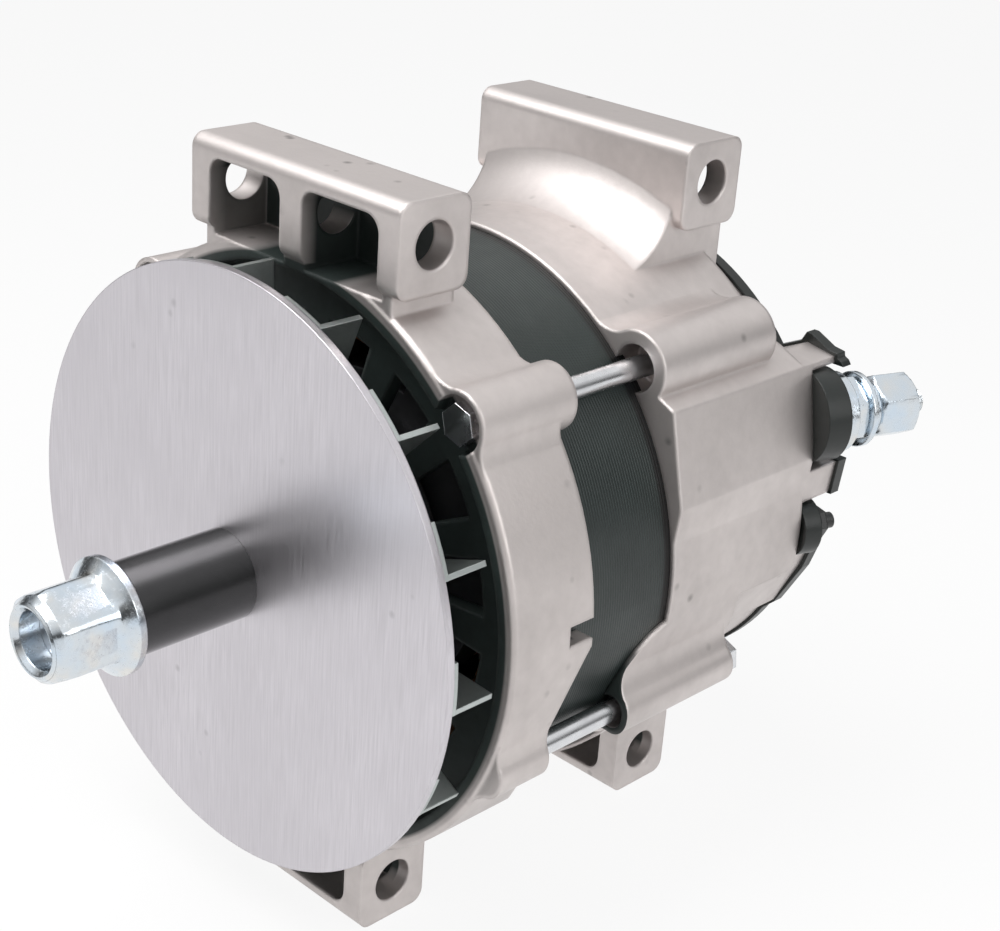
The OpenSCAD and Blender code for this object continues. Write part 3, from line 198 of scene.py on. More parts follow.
def new_node(tree, kind, **values):
    """Adds a node and sets its properties, and its inputs by name where no property has that name."""
    node = tree.nodes.new(kind)
    for key, value in values.items():
        if hasattr(node, key):
            setattr(node, key, value)
        else:
            node.inputs[key.replace("_", " ")].default_value = value
    return node


def math_node(tree, operation, first, second=0.5):
    """A Math node whose two inputs are sockets or numbers."""
    node = tree.nodes.new("ShaderNodeMath")
    node.operation = operation
    for socket, value in zip(node.inputs, (first, second)):
        if isinstance(value, (int, float)):
            socket.default_value = value
        else:
            tree.links.new(value, socket)
    return node.outputs[0]


def weighted_sum(tree, first, first_share, second, second_share):
    """Two values added, each times its share."""
    first_part = math_node(tree, "MULTIPLY", first, first_share)
    second_part = math_node(tree, "MULTIPLY", second, second_share)
    return math_node(tree, "ADD", first_part, second_part)


def remap(tree, value, low, high, to_low=0.0, to_high=1.0):
    """Maps a value from one span to another, clamped."""
    node = new_node(tree, "ShaderNodeMapRange", From_Min=low, From_Max=high, To_Min=to_low, To_Max=to_high)
    tree.links.new(value, node.inputs["Value"])
    return node.outputs["Result"]


def mix_color(tree, factor, first, second):
    """Mixes two colours, each a socket or a tuple."""
    node = tree.nodes.new("ShaderNodeMix")
    node.data_type = "RGBA"
    sockets = (node.inputs["Factor"], node.inputs[6], node.inputs[7])
    for socket, value in zip(sockets, (factor, first, second)):
        if isinstance(value, bpy.types.NodeSocket):
            tree.links.new(value, socket)
        elif isinstance(value, (int, float)):
            socket.default_value = value
        else:
            socket.default_value = (*value[:3], 1.0)
    return node.outputs[2]


def mix_shaders(tree, factor, first, second):
    """Mixes two shaders by a factor, all three given as sockets."""
    node = tree.nodes.new("ShaderNodeMixShader")
    for socket, value in zip(node.inputs, (factor, first, second)):
        tree.links.new(value, socket)
    return node.outputs[0]


def new_group(name, inputs, outputs):
    """Starts a shader node group with named sockets, and returns its tree and its two end nodes."""
    tree = bpy.data.node_groups.new(name, "ShaderNodeTree")
    for label, kind, default in inputs:
        socket = tree.interface.new_socket(name=label, in_out="INPUT", socket_type=kind)
        if default is not None:
            socket.default_value = default
    for label, kind in outputs:
        tree.interface.new_socket(name=label, in_out="OUTPUT", socket_type=kind)
    return tree, tree.nodes.new("NodeGroupInput"), tree.nodes.new("NodeGroupOutput")


def noise(tree, vector, scale, detail=3.0, roughness=0.55):
    """A Noise texture on a vector, whose scale is a socket or a number."""
    node = new_node(tree, "ShaderNodeTexNoise", Detail=detail, Roughness=roughness)
    tree.links.new(vector, node.inputs["Vector"])
    if isinstance(scale, (int, float)):
        node.inputs["Scale"].default_value = scale
    else:
        tree.links.new(scale, node.inputs["Scale"])
    return node.outputs["Fac"]


def group_cast_skin():
    """Grain, soft blotches and small pits of a cast or forged surface."""
    tree, start, end = new_group(
        "Cast skin",
        [("Vector", "NodeSocketVector", None), ("Grain scale", "NodeSocketFloat", 800.0),
         ("Blotch scale", "NodeSocketFloat", 22.0)],
        [("Height", "NodeSocketFloat"), ("Tone", "NodeSocketFloat"), ("Pits", "NodeSocketFloat")],
    )
    vector, grain = start.outputs["Vector"], start.outputs["Grain scale"]
    fine = noise(tree, vector, grain, 2.0)
    coarse = noise(tree, vector, math_node(tree, "MULTIPLY", grain, 0.28), 3.0)
    blotch = noise(tree, vector, start.outputs["Blotch scale"], 4.0, 0.6)
    cells = new_node(tree, "ShaderNodeTexVoronoi")
    tree.links.new(vector, cells.inputs["Vector"])
    tree.links.new(math_node(tree, "MULTIPLY", grain, 0.16), cells.inputs["Scale"])
    few = noise(tree, vector, math_node(tree, "MULTIPLY", grain, 0.05), 1.0)
    near = remap(tree, cells.outputs["Distance"], 0.05, 0.22, 1.0, 0.0)
    pits = math_node(tree, "MULTIPLY", near, remap(tree, few, 0.56, 0.66))
    rough = weighted_sum(tree, fine, 0.45, coarse, 0.55)
    height = math_node(tree, "SUBTRACT", rough, math_node(tree, "MULTIPLY", pits, 0.6))
    tone = weighted_sum(tree, blotch, 0.75, coarse, 0.25)
    tree.links.new(height, end.inputs["Height"])
    tree.links.new(remap(tree, tone, 0.3, 0.7), end.inputs["Tone"])
    tree.links.new(pits, end.inputs["Pits"])
    return tree


def group_soft_edge():
    """Normals that round the edges, and a mask that is 1 along them."""
    tree, start, end = new_group(
        "Soft edge", [("Radius", "NodeSocketFloat", 0.001)],
        [("Normal", "NodeSocketVector"), ("Edge", "NodeSocketFloat")],
    )
    bevel = new_node(tree, "ShaderNodeBevel", samples=6)
    tree.links.new(start.outputs["Radius"], bevel.inputs["Radius"])
    geometry = tree.nodes.new("ShaderNodeNewGeometry")
    dot = new_node(tree, "ShaderNodeVectorMath", operation="DOT_PRODUCT")
    tree.links.new(bevel.outputs["Normal"], dot.inputs[0])
    tree.links.new(geometry.outputs["Normal"], dot.inputs[1])
    tree.links.new(bevel.outputs["Normal"], end.inputs["Normal"])
    tree.links.new(remap(tree, dot.outputs["Value"], 0.8, 0.995, 1.0, 0.0), end.inputs["Edge"])
    return tree


def group_brushing():
    """Brush marks along one direction, with pits and faint stains."""
    tree, start, end = new_group(
        "Brushing",
        [("Vector", "NodeSocketVector", None), ("Streak scale", "NodeSocketFloat", 1400.0)],
        [("Streak", "NodeSocketFloat"), ("Pits", "NodeSocketFloat"), ("Stain", "NodeSocketFloat")],
    )
    squeeze = new_node(tree, "ShaderNodeMapping")
    squeeze.inputs["Scale"].default_value = (1.0, 1.0, 0.035)
    tree.links.new(start.outputs["Vector"], squeeze.inputs["Vector"])
    marks = noise(tree, squeeze.outputs["Vector"], start.outputs["Streak scale"], 3.0, 0.7)
    cells = new_node(tree, "ShaderNodeTexVoronoi", Scale=95.0)
    tree.links.new(start.outputs["Vector"], cells.inputs["Vector"])
    few = noise(tree, start.outputs["Vector"], 26.0, 1.0)
    near = remap(tree, cells.outputs["Distance"], 0.06, 0.16, 1.0, 0.0)
    spots = math_node(tree, "MULTIPLY", near, remap(tree, few, 0.57, 0.63))
    stain = noise(tree, start.outputs["Vector"], 16.0, 4.0, 0.62)
    tree.links.new(marks, end.inputs["Streak"])
    tree.links.new(spots, end.inputs["Pits"])
    tree.links.new(remap(tree, stain, 0.35, 0.68), end.inputs["Stain"])
    return tree


def group_plating():
    """Faint blue and straw tints of bright zinc, with small scuffs."""
    tree, start, end = new_group(
        "Plating",
        [("Vector", "NodeSocketVector", None), ("Color", "NodeSocketColor", None)],
        [("Color", "NodeSocketColor"), ("Scuff", "NodeSocketFloat")],
    )
    tint = noise(tree, start.outputs["Vector"], 120.0, 2.0)
    blue = mix_color(tree, remap(tree, tint, 0.42, 0.7), start.outputs["Color"], (0.62, 0.71, 0.8))
    straw = mix_color(tree, remap(tree, tint, 0.28, 0.42, 0.5, 0.0), blue, (0.8, 0.75, 0.68))
    scuff = noise(tree, start.outputs["Vector"], 700.0, 3.0, 0.7)
    tree.links.new(straw, end.inputs["Color"])
    tree.links.new(remap(tree, scuff, 0.45, 0.7), end.inputs["Scuff"])
    return tree


def group_ridges():
    """Even ridges along one axis, such as laminations or wound wire."""
    tree, start, end = new_group(
        "Ridges",
        [("Vector", "NodeSocketVector", None), ("Pitch", "NodeSocketFloat", 0.001)],
        [("Height", "NodeSocketFloat"), ("Groove", "NodeSocketFloat")],
    )
    split = tree.nodes.new("ShaderNodeSeparateXYZ")
    tree.links.new(start.outputs["Vector"], split.inputs[0])
    turns = math_node(tree, "DIVIDE", split.outputs["Y"], start.outputs["Pitch"])
    wave = math_node(tree, "SINE", math_node(tree, "MULTIPLY", turns, 2 * math.pi), 0.0)
    height = remap(tree, wave, -1.0, 0.2)
    tree.links.new(height, end.inputs["Height"])
    tree.links.new(math_node(tree, "SUBTRACT", 1.0, height), end.inputs["Groove"])
    return tree


def group_painted_shade():
    """Where shade is painted: inside a drum, in the pockets of its bars and on its open end, but not on
    faces that turn upwards.
    """
    tree, start, end = new_group(
        "Painted shade",
        [("Vector", "NodeSocketVector", None), ("Drum radius", "NodeSocketFloat", 0.086),
         ("Drum end", "NodeSocketFloat", 0.05), ("Pocket start", "NodeSocketFloat", 0.0),
         ("Pocket side", "NodeSocketFloat", 1.0), ("Pocket half", "NodeSocketFloat", 0.034),
         ("Pocket top", "NodeSocketFloat", 0.107), ("Rim end", "NodeSocketFloat", -1.0)],
        [("Mask", "NodeSocketFloat")],
    )
    given = start.outputs
    split = tree.nodes.new("ShaderNodeSeparateXYZ")
    tree.links.new(given["Vector"], split.inputs[0])
    x, y, z = split.outputs
    facing = tree.nodes.new("ShaderNodeSeparateXYZ")
    tree.links.new(tree.nodes.new("ShaderNodeNewGeometry").outputs["Normal"], facing.inputs[0])
    squares = math_node(tree, "ADD", math_node(tree, "MULTIPLY", x, x), math_node(tree, "MULTIPLY", z, z))
    radius = math_node(tree, "SQRT", squares, 0.0)
    # Painted shade inside the drum, in the shadow of the fan disc
    inner = math_node(tree, "SUBTRACT", given["Drum radius"], radius)
    before = math_node(tree, "SUBTRACT", given["Drum end"], y)
    drum = math_node(
        tree, "MULTIPLY", remap(tree, inner, 0.0, 1.2 * MM), remap(tree, before, 0.0, 1.0 * MM)
    )
    height = math_node(tree, "ABSOLUTE", z, 0.0)
    # Faces that turn upwards stay light, since the light falls on them
    upward = remap(tree, facing.outputs["Z"], 0.25, 0.8, 1.0, 0.0)
    below_bars = remap(tree, height, BAR_FROM, BAR_FROM + 1.0 * MM, 1.0, 0.0)
    ledge = math_node(tree, "MAXIMUM", below_bars, upward)
    drum = math_node(tree, "MULTIPLY", drum, ledge)
    past = math_node(tree, "SUBTRACT", y, given["Pocket start"])
    depth = math_node(tree, "MULTIPLY", past, given["Pocket side"])
    before_wall = remap(tree, math_node(tree, "SUBTRACT", POCKET_DEPTH, depth), 0.0, 0.2 * MM)
    deep = math_node(tree, "MULTIPLY", remap(tree, depth, 0.2 * MM, 6.0 * MM), before_wall)
    across = math_node(tree, "SUBTRACT", given["Pocket half"], math_node(tree, "ABSOLUTE", x, 0.0))
    under = math_node(tree, "SUBTRACT", given["Pocket top"], height)
    over = math_node(tree, "SUBTRACT", height, BAR_FROM)
    pocket = deep
    for room in (across, under, over):
        pocket = math_node(tree, "MULTIPLY", pocket, remap(tree, room, 0.0, 0.5 * MM))
    pocket = math_node(tree, "MULTIPLY", pocket, upward)
    # Painted shadow on the forward faces of the open end, in the gap behind the stator
    rim = math_node(
        tree, "MULTIPLY",
        remap(tree, math_node(tree, "SUBTRACT", given["Rim end"], y), 0.0, 1.5 * MM),
        remap(tree, facing.outputs["Y"], -0.85, -0.5, 1.0, 0.0),
    )
    widest = math_node(tree, "MAXIMUM", drum, math_node(tree, "MAXIMUM", pocket, rim))
    tree.links.new(widest, end.inputs["Mask"])
    return tree


GROUPS = {
    "Cast skin": group_cast_skin,
    "Painted shade": group_painted_shade,
    "Soft edge": group_soft_edge,
    "Brushing": group_brushing,
    "Plating": group_plating,
    "Ridges": group_ridges,
}


def use_group(tree, name, **values):
    """Places a shared node group, built on first use. A value is a socket or a number."""
    node = tree.nodes.new("ShaderNodeGroup")
    node.node_tree = bpy.data.node_groups.get(name) or GROUPS[name]()
    for key, value in values.items():
        socket = node.inputs[key.replace("_", " ")]
        if isinstance(value, bpy.types.NodeSocket):
            tree.links.new(value, socket)
        else:
            socket.default_value = value
    return node


def start_material(name, **shader_values):
    """A new material with its shader, and the object coordinates that its patterns read."""
    material = bpy.data.materials.new(name)
    material.use_nodes = True
    tree = material.node_tree
    tree.nodes.clear()
    shader = tree.nodes.new("ShaderNodeBsdfPrincipled")
    output = tree.nodes.new("ShaderNodeOutputMaterial")
    tree.links.new(shader.outputs["BSDF"], output.inputs["Surface"])
    for key, value in shader_values.items():
        shader.inputs[key.replace("_", " ")].default_value = value
    place = tree.nodes.new("ShaderNodeTexCoord").outputs["Object"]
    return material, tree, shader, place


def add_bump(tree, shader, height, distance, strength=0.6, normal=None):
    """Feeds a height to the shader's normal."""
    bump = new_node(tree, "ShaderNodeBump", Strength=strength, Distance=distance)
    tree.links.new(height, bump.inputs["Height"])
    if normal is not None:
        tree.links.new(normal, bump.inputs["Normal"])
    tree.links.new(bump.outputs["Normal"], shader.inputs["Normal"])


# Finishes


def darker(color, factor):
    """A colour times a factor, which may also be over 1."""
    return tuple(channel * factor for channel in color[:3])


def link_roughness(tree, shader, mask, at_zero, at_one):
    """Drives the roughness by a mask, given what it is where the mask is 0 and where it is 1."""
    tree.links.new(remap(tree, mask, 0.0, 1.0, at_zero, at_one), shader.inputs["Roughness"])


def casting_material(name, color, grain, edge, metallic=0.85, coat=None):
    """Cast metal with grain, blotches, pits and rounded edges, and painted shade where coat gives its
    colour and place.
    """
    material, tree, shader, place = start_material(name, Metallic=metallic)
    skin = use_group(tree, "Cast skin", Vector=place, Grain_scale=1.0 / grain, Blotch_scale=24.0)
    soft = use_group(tree, "Soft edge", Radius=edge)
    base = mix_color(tree, skin.outputs["Tone"], darker(color, 0.86), darker(color, 1.1))
    pitted = mix_color(tree, skin.outputs["Pits"], base, darker(color, 0.45))
    polish = math_node(tree, "MULTIPLY", soft.outputs["Edge"], 0.35)
    worn = mix_color(tree, polish, pitted, darker(color, 1.35))
    # Painted shade: a darker, less metallic colour inside the drums, in the pockets and on the rear rim
    if coat:
        painted_shade_color, where = coat
        mask = use_group(tree, "Painted shade", Vector=place, **where).outputs["Mask"]
        patchy_shade = mix_color(tree, skin.outputs["Tone"], darker(painted_shade_color, 0.6), darker(painted_shade_color, 1.5))
        worn = mix_color(tree, mask, worn, patchy_shade)
        metal = remap(tree, mask, 0.0, 1.0, metallic, 0.1)
        tree.links.new(metal, shader.inputs["Metallic"])
    tree.links.new(worn, shader.inputs["Base Color"])
    link_roughness(tree, shader, skin.outputs["Tone"], 0.56, 0.4)
    add_bump(tree, shader, skin.outputs["Height"], 0.12 * MM, 0.55, soft.outputs["Normal"])
    return material


def brushed_material(name, color, streak):
    """Brushed sheet steel with pits and faint stains."""
    material, tree, shader, place = start_material(name, Metallic=0.95, Anisotropic=0.35)
    marks = use_group(tree, "Brushing", Vector=place, Streak_scale=1.0 / streak)
    soft = use_group(tree, "Soft edge", Radius=0.5 * MM)
    base = mix_color(tree, marks.outputs["Stain"], darker(color, 0.93), darker(color, 1.05))
    lined = mix_color(tree, remap(tree, marks.outputs["Streak"], 0.35, 0.65), darker(color, 0.9), base)
    pits = math_node(tree, "MULTIPLY", marks.outputs["Pits"], 0.55)
    pitted = mix_color(tree, pits, lined, darker(color, 0.4))
    tree.links.new(pitted, shader.inputs["Base Color"])
    tree.links.new(remap(tree, marks.outputs["Streak"], 0.3, 0.7, 0.42, 0.3), shader.inputs["Roughness"])
    add_bump(tree, shader, marks.outputs["Streak"], 0.04 * MM, 0.5, soft.outputs["Normal"])
    return material


def zinc_material(name, color):
    """Bright zinc plating with faint tints and scuffs."""
    material, tree, shader, place = start_material(name, Metallic=1.0)
    plating = use_group(tree, "Plating", Vector=place, Color=(*color[:3], 1.0))
    soft = use_group(tree, "Soft edge", Radius=0.5 * MM)
    tree.links.new(plating.outputs["Color"], shader.inputs["Base Color"])
    link_roughness(tree, shader, plating.outputs["Scuff"], 0.16, 0.34)
    add_bump(tree, shader, plating.outputs["Scuff"], 0.02 * MM, 0.4, soft.outputs["Normal"])
    return material


def plain_metal(name, color, rough):
    """Ground or drawn metal with a fine grain."""
    material, tree, shader, place = start_material(name, Metallic=1.0)
    skin = use_group(tree, "Cast skin", Vector=place, Grain_scale=1.0 / (0.6 * MM), Blotch_scale=60.0)
    soft = use_group(tree, "Soft edge", Radius=0.4 * MM)
    base = mix_color(tree, skin.outputs["Tone"], darker(color, 0.85), darker(color, 1.1))
    tree.links.new(base, shader.inputs["Base Color"])
    link_roughness(tree, shader, skin.outputs["Tone"], rough + 0.08, rough - 0.05)
    add_bump(tree, shader, skin.outputs["Height"], 0.03 * MM, 0.4, soft.outputs["Normal"])
    return material


def glossy_black(name, rough=0.14, coat=0.6):
    """Black oxide or paint, smooth and oily."""
    material, tree, shader, place = start_material(
        name, Metallic=0.0, Coat_Weight=coat, Coat_Roughness=0.08
    )
    skin = use_group(tree, "Cast skin", Vector=place, Grain_scale=900.0, Blotch_scale=50.0)
    soft = use_group(tree, "Soft edge", Radius=0.5 * MM)
    base = mix_color(tree, skin.outputs["Tone"], (0.008, 0.009, 0.009), (0.02, 0.021, 0.021))
    tree.links.new(base, shader.inputs["Base Color"])
    link_roughness(tree, shader, skin.outputs["Tone"], rough + 0.1, rough)
    add_bump(tree, shader, skin.outputs["Height"], 0.02 * MM, 0.3, soft.outputs["Normal"])
    return material


def moulded_plastic(name, color, rough=0.5):
    """Moulded plastic with a fine spark-eroded texture."""
    material, tree, shader, place = start_material(name)
    skin = use_group(tree, "Cast skin", Vector=place, Grain_scale=1600.0, Blotch_scale=40.0)
    soft = use_group(tree, "Soft edge", Radius=0.6 * MM)
    base = mix_color(tree, skin.outputs["Tone"], darker(color, 0.8), darker(color, 1.2))
    wear = math_node(tree, "MULTIPLY", soft.outputs["Edge"], 0.4)
    edged = mix_color(tree, wear, base, darker(color, 2.2))
    tree.links.new(edged, shader.inputs["Base Color"])
    link_roughness(tree, shader, skin.outputs["Tone"], rough + 0.08, rough - 0.08)
    add_bump(tree, shader, skin.outputs["Height"], 0.06 * MM, 0.5, soft.outputs["Normal"])
    return material


def ridged_material(name, color, groove_color, pitch, rough, metallic, coat, depth, shadow_from=None):
    """Stacked sheets or wound wire: ridges along the shaft, with darker grooves, and a painted shadow past
    shadow_from.
    """
    material, tree, shader, place = start_material(
        name, Metallic=metallic, Coat_Weight=coat, Coat_Roughness=0.3
    )
    ridges = use_group(tree, "Ridges", Vector=place, Pitch=pitch)
    skin = use_group(tree, "Cast skin", Vector=place, Grain_scale=500.0, Blotch_scale=30.0)
    base = mix_color(tree, skin.outputs["Tone"], darker(color, 0.75), darker(color, 1.25))
    groove = math_node(tree, "MULTIPLY", ridges.outputs["Groove"], 0.6)
    lined = mix_color(tree, groove, base, groove_color)
    if shadow_from:
        # Painted shadow: the colour darkens to nearly black as Y passes shadow_from
        split = tree.nodes.new("ShaderNodeSeparateXYZ")
        tree.links.new(place, split.inputs[0])
        shade = remap(tree, split.outputs["Y"], shadow_from, shadow_from + 1.2 * MM, 0.0, 0.95)
        lined = mix_color(tree, shade, lined, darker(groove_color, 0.2))
    tree.links.new(lined, shader.inputs["Base Color"])
    link_roughness(tree, shader, skin.outputs["Tone"], rough + 0.1, rough - 0.06)
    grain = math_node(tree, "MULTIPLY", skin.outputs["Height"], 0.5)
    height = math_node(tree, "ADD", ridges.outputs["Height"], grain)
    add_bump(tree, shader, height, depth, 0.7)
    return material


def housing_finishes(cast):
    """The castings whose insides carry painted shade, by node."""
    front_low, front_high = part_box("drive_end_housing")
    rear_low, rear_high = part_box("slip_ring_end_housing")
    front_shade = {
        "Drum_radius": FRONT_DRUM_RADIUS, "Drum_end": front_low.y + FRONT_DRUM_DEPTH,
        "Pocket_start": front_low.y, "Pocket_half": POCKET_HALF,
        "Pocket_top": front_high.z - POCKET_ROOF,
    }
    rear_shade = {
        "Drum_radius": REAR_DRUM_RADIUS, "Drum_end": REAR_DRUM_END,
        "Pocket_start": rear_high.y - 8.0 * MM, "Pocket_side": -1.0, "Pocket_half": POCKET_HALF,
        "Pocket_top": rear_high.z - POCKET_ROOF, "Rim_end": rear_low.y + REAR_RIM_DEPTH,
    }
    return {
        "drive_end_housing": casting_material(
            "Front casting", cast.color, cast.grain, cast.edge, coat=(cast.painted_shade_color, front_shade)
        ),
        "slip_ring_end_housing": casting_material(
            "Rear casting", cast.color, cast.grain, cast.edge, coat=(cast.painted_shade_color, rear_shade)
        ),
    }


def slot_finishes(settings):
    """The finish of each material slot of the record."""
    cast, sheet, hardware = settings.casting, settings.sheet, settings.hardware
    return {
        "cast_aluminium": casting_material("Cast aluminium", cast.color, cast.grain, cast.edge),
        "fan_steel": brushed_material("Brushed fan disc", sheet.color, sheet.streak),
        "fan_sheet": plain_metal("Fan blade sheet", (0.5, 0.54, 0.53), 0.4),
        "steel_ground": plain_metal("Ground steel", (0.6, 0.61, 0.63), 0.3),
        "sleeve_black": glossy_black("Black sleeve"),
        ZINC: zinc_material("Bright zinc", hardware.zinc_color),
        "bolt_steel": plain_metal("Drawn bolt steel", (0.72, 0.73, 0.75), 0.26),
        "pole_steel": casting_material(
            "Forged pole steel", (0.17, 0.17, 0.18), grain=0.9 * MM, edge=0.8 * MM, metallic=0.8
        ),
        "bobbin_plastic": moulded_plastic("Natural nylon", (0.72, 0.66, 0.5)),
        "copper": plain_metal("Bare copper", (0.78, 0.42, 0.27), 0.3),
        "winding_copper": ridged_material(
            "Varnished winding", (0.42, 0.17, 0.07), (0.08, 0.03, 0.015), pitch=1.2 * MM, rough=0.35,
            metallic=0.6, coat=0.6, depth=0.4 * MM,
        ),
        "slip_moulding": moulded_plastic("Dark moulding", (0.045, 0.038, 0.034)),
        "cage_brass": plain_metal("Cage brass", (0.78, 0.6, 0.28), 0.32),
        "core_laminations": ridged_material(
            "Varnished laminations", (0.022, 0.032, 0.030), (0.006, 0.009, 0.009), pitch=1.0 * MM,
            rough=0.42, metallic=0.35, coat=0.25, depth=0.12 * MM,
            # The rear end of the stack gets a painted shadow where it meets the rear housing
            shadow_from=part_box("stator_core")[1].y - STACK_SHADOW_DEPTH,
        ),
        "heat_sink_aluminium": plain_metal("Heat sink aluminium", (0.64, 0.65, 0.67), 0.4),
        "diode_metal": plain_metal("Dull nickel", (0.4, 0.4, 0.42), 0.42),
        "carbon": moulded_plastic("Pressed graphite", (0.05, 0.05, 0.055), 0.4),
        "spring_steel": plain_metal("Spring wire", (0.58, 0.58, 0.6), 0.28),
        "black_plastic": moulded_plastic("Black plastic", (0.007, 0.010, 0.009), 0.36),
        "black_steel": glossy_black("Black terminal steel", 0.3, 0.2),
    }


# Object and mesh helpers


def add_object(name, data):
    """Links a new object to the scene."""
    added = bpy.data.objects.new(name, data)
    bpy.context.scene.collection.objects.link(added)
    return added


def mesh_from(mesh_builder, name):
    """Turns a bmesh into a mesh and frees it."""
    mesh = bpy.data.meshes.new(name)
    mesh_builder.to_mesh(mesh)
    mesh_builder.free()
    return mesh


def finish_zinc_piece(mesh_builder, name, body, node):
    """Turns a bmesh into a plated piece that rides on a body and stands for a CAD node."""
    bmesh.ops.remove_doubles(mesh_builder, verts=mesh_builder.verts, dist=1e-6)
    bmesh.ops.recalc_face_normals(mesh_builder, faces=mesh_builder.faces)
    for face in mesh_builder.faces:
        face.smooth = True
    limit = math.radians(SMOOTH_ANGLE)
    for edge in mesh_builder.edges:
        edge.smooth = len(edge.link_faces) == 2 and edge.calc_face_angle(0.0) < limit
    piece = add_object(name, mesh_from(mesh_builder, name))
    piece.data.materials.append(bpy.data.materials["Bright zinc"])
    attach(piece, body)
    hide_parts(node)


def ring_loop(mesh_builder, radii, height):
    """A closed loop of edges at a height, whose radius may change with the angle."""
    made = bmesh.ops.create_circle(mesh_builder, cap_ends=False, radius=1.0, segments=len(radii))
    for vert, radius in zip(made["verts"], radii):
        vert.co = Vector((vert.co.x * radius, vert.co.y * radius, height))
    return made["verts"]


def loop_edges(verts):
    """The edges that join the points of one loop."""
    inside = set(verts)
    return [edge for vert in verts for edge in vert.link_edges if edge.other_vert(vert) in inside]


def loft(mesh_builder, sections):
    """Skins a stack of loops, each given as its radii and its height. The last meets the first."""
    loops = [ring_loop(mesh_builder, radii, height) for radii, height in sections]
    for first, second in zip(loops, loops[1:] + loops[:1]):
        edges = list({*loop_edges(first), *loop_edges(second)})
        bmesh.ops.bridge_loops(mesh_builder, edges=edges)


def round_radii(radius, count):
    """Radii of a circle by angle."""
    return [radius] * count


def hex_radii(half_flats, count, roundness=0.0, limit=None):
    """Radii of a hexagon by angle, drawn towards a circle by roundness and cut off at limit."""
    radii = []
    for k in range(count):
        turn = (k * 360.0 / count) % 60.0 - 30.0
        flat = half_flats / math.cos(math.radians(turn))
        radius = flat * (1 - roundness) + half_flats * 1.05 * roundness
        radii.append(min(radius, limit) if limit else radius)
    return radii


def bevelled_hex(count, half_flats, bore, low, high, corner, chamfer):
    """Sections of a hex nut with its bore, from face to face, chamfered like a turned nut."""
    face_r = half_flats * 0.94
    face = round_radii(face_r, count)
    shares = (0.35, 0.7, 1.0)
    chamfered = [hex_radii(half_flats, count, 0.0, face_r + (corner - face_r) * share) for share in shares]
    low_side = [(radii, low + chamfer * share) for radii, share in zip(chamfered, shares)]
    middle = (hex_radii(half_flats, count, 0.0, corner), (low + high) / 2)
    high_side = [(radii, high - chamfer * share) for radii, share in zip(chamfered, shares)]
    return [
        (round_radii(bore, count), low), (face, low), *low_side, middle, *reversed(high_side),
        (face, high), (round_radii(bore, count), high),
    ]


def threaded_rod(mesh_builder, radius, low, high, pitch, depth, segments=40):
    """A rod whose side is a screw thread: one tooth profile spun up the axis."""
    turns = max(1, int(round((high - low) / pitch)))
    root = radius - depth
    points = [
        (root, 0.0), (radius, pitch * 0.35), (radius, pitch * 0.5), (root, pitch * 0.85), (root, pitch),
    ]
    start = low - pitch
    verts = [mesh_builder.verts.new((x, 0.0, start + z)) for x, z in points]
    edges = [mesh_builder.edges.new(pair) for pair in zip(verts, verts[1:])]
    bmesh.ops.spin(
        mesh_builder, geom=verts + edges, cent=(0, 0, 0), axis=(0, 0, 1), dvec=(0, 0, pitch / segments),
        angle=2 * math.pi * (turns + 1), steps=segments * (turns + 1), use_merge=False,
    )
    bmesh.ops.remove_doubles(mesh_builder, verts=mesh_builder.verts, dist=2e-6)
    for height, normal in ((low, (0, 0, -1)), (high, (0, 0, 1))):
        geometry = mesh_builder.verts[:] + mesh_builder.edges[:] + mesh_builder.faces[:]
        cut = bmesh.ops.bisect_plane(
            mesh_builder, geom=geometry, plane_co=(0, 0, height), plane_no=normal, clear_outer=True
        )
        rim = [item for item in cut["geom_cut"] if isinstance(item, bmesh.types.BMEdge)]
        bmesh.ops.contextual_create(mesh_builder, geom=rim)


def along_shaft():
    """Turns a mesh built along Z to lie along the shaft, with Z turned to +Y."""
    return Matrix.Rotation(math.radians(-90), 4, "X")


def record_mount(name):
    """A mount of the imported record, as its place and its axis."""
    for mount in frame["record"]["mounts"]:
        if mount["name"] == name:
            return Vector(mount["pos_m"]), Vector(mount["axis"])
    raise RuntimeError(f"the packed record has no mount named {name}")


def terminal_matrix(name):
    """Takes a mesh built along Z to a terminal's axis, with Z = 0 at the mount's own point."""
    place, axis = record_mount(name)
    return Matrix.Translation(place) @ axis.to_track_quat("Z", "Y").to_matrix().to_4x4()


def span_along(name, node):
    """How far a node reaches along a terminal's axis, measured from the mount's point."""
    place, axis = record_mount(name)
    reach = [(vert.co - place).dot(axis) for vert in NODES[node].data.vertices]
    return min(reach), max(reach)


def radius_about(name, node):
    """A node's largest distance from a terminal's axis."""
    place, axis = record_mount(name)
    offsets = ((vert.co - place) for vert in NODES[node].data.vertices)
    return max((offset - axis * offset.dot(axis)).length for offset in offsets)


# Operators


class ALTERNATOR_OT_finishes(Operator):
    """Give every part of the machine its finish"""

    bl_idname = "alternator.finishes"
    bl_label = "Finish the Parts"

    def execute(self, context):
        finishes = slot_finishes(context.scene.alternator)
        housings = housing_finishes(context.scene.alternator.casting)
        for row in frame["record"]["subparts"]:
            part = NODES[row["node"]]
            material = housings.get(row["node"]) or finishes[row["material_slot"]]
            if not part.material_slots:
                part.data.materials.append(material)
            for slot in part.material_slots:
                slot.material = material
        return {"FINISHED"}


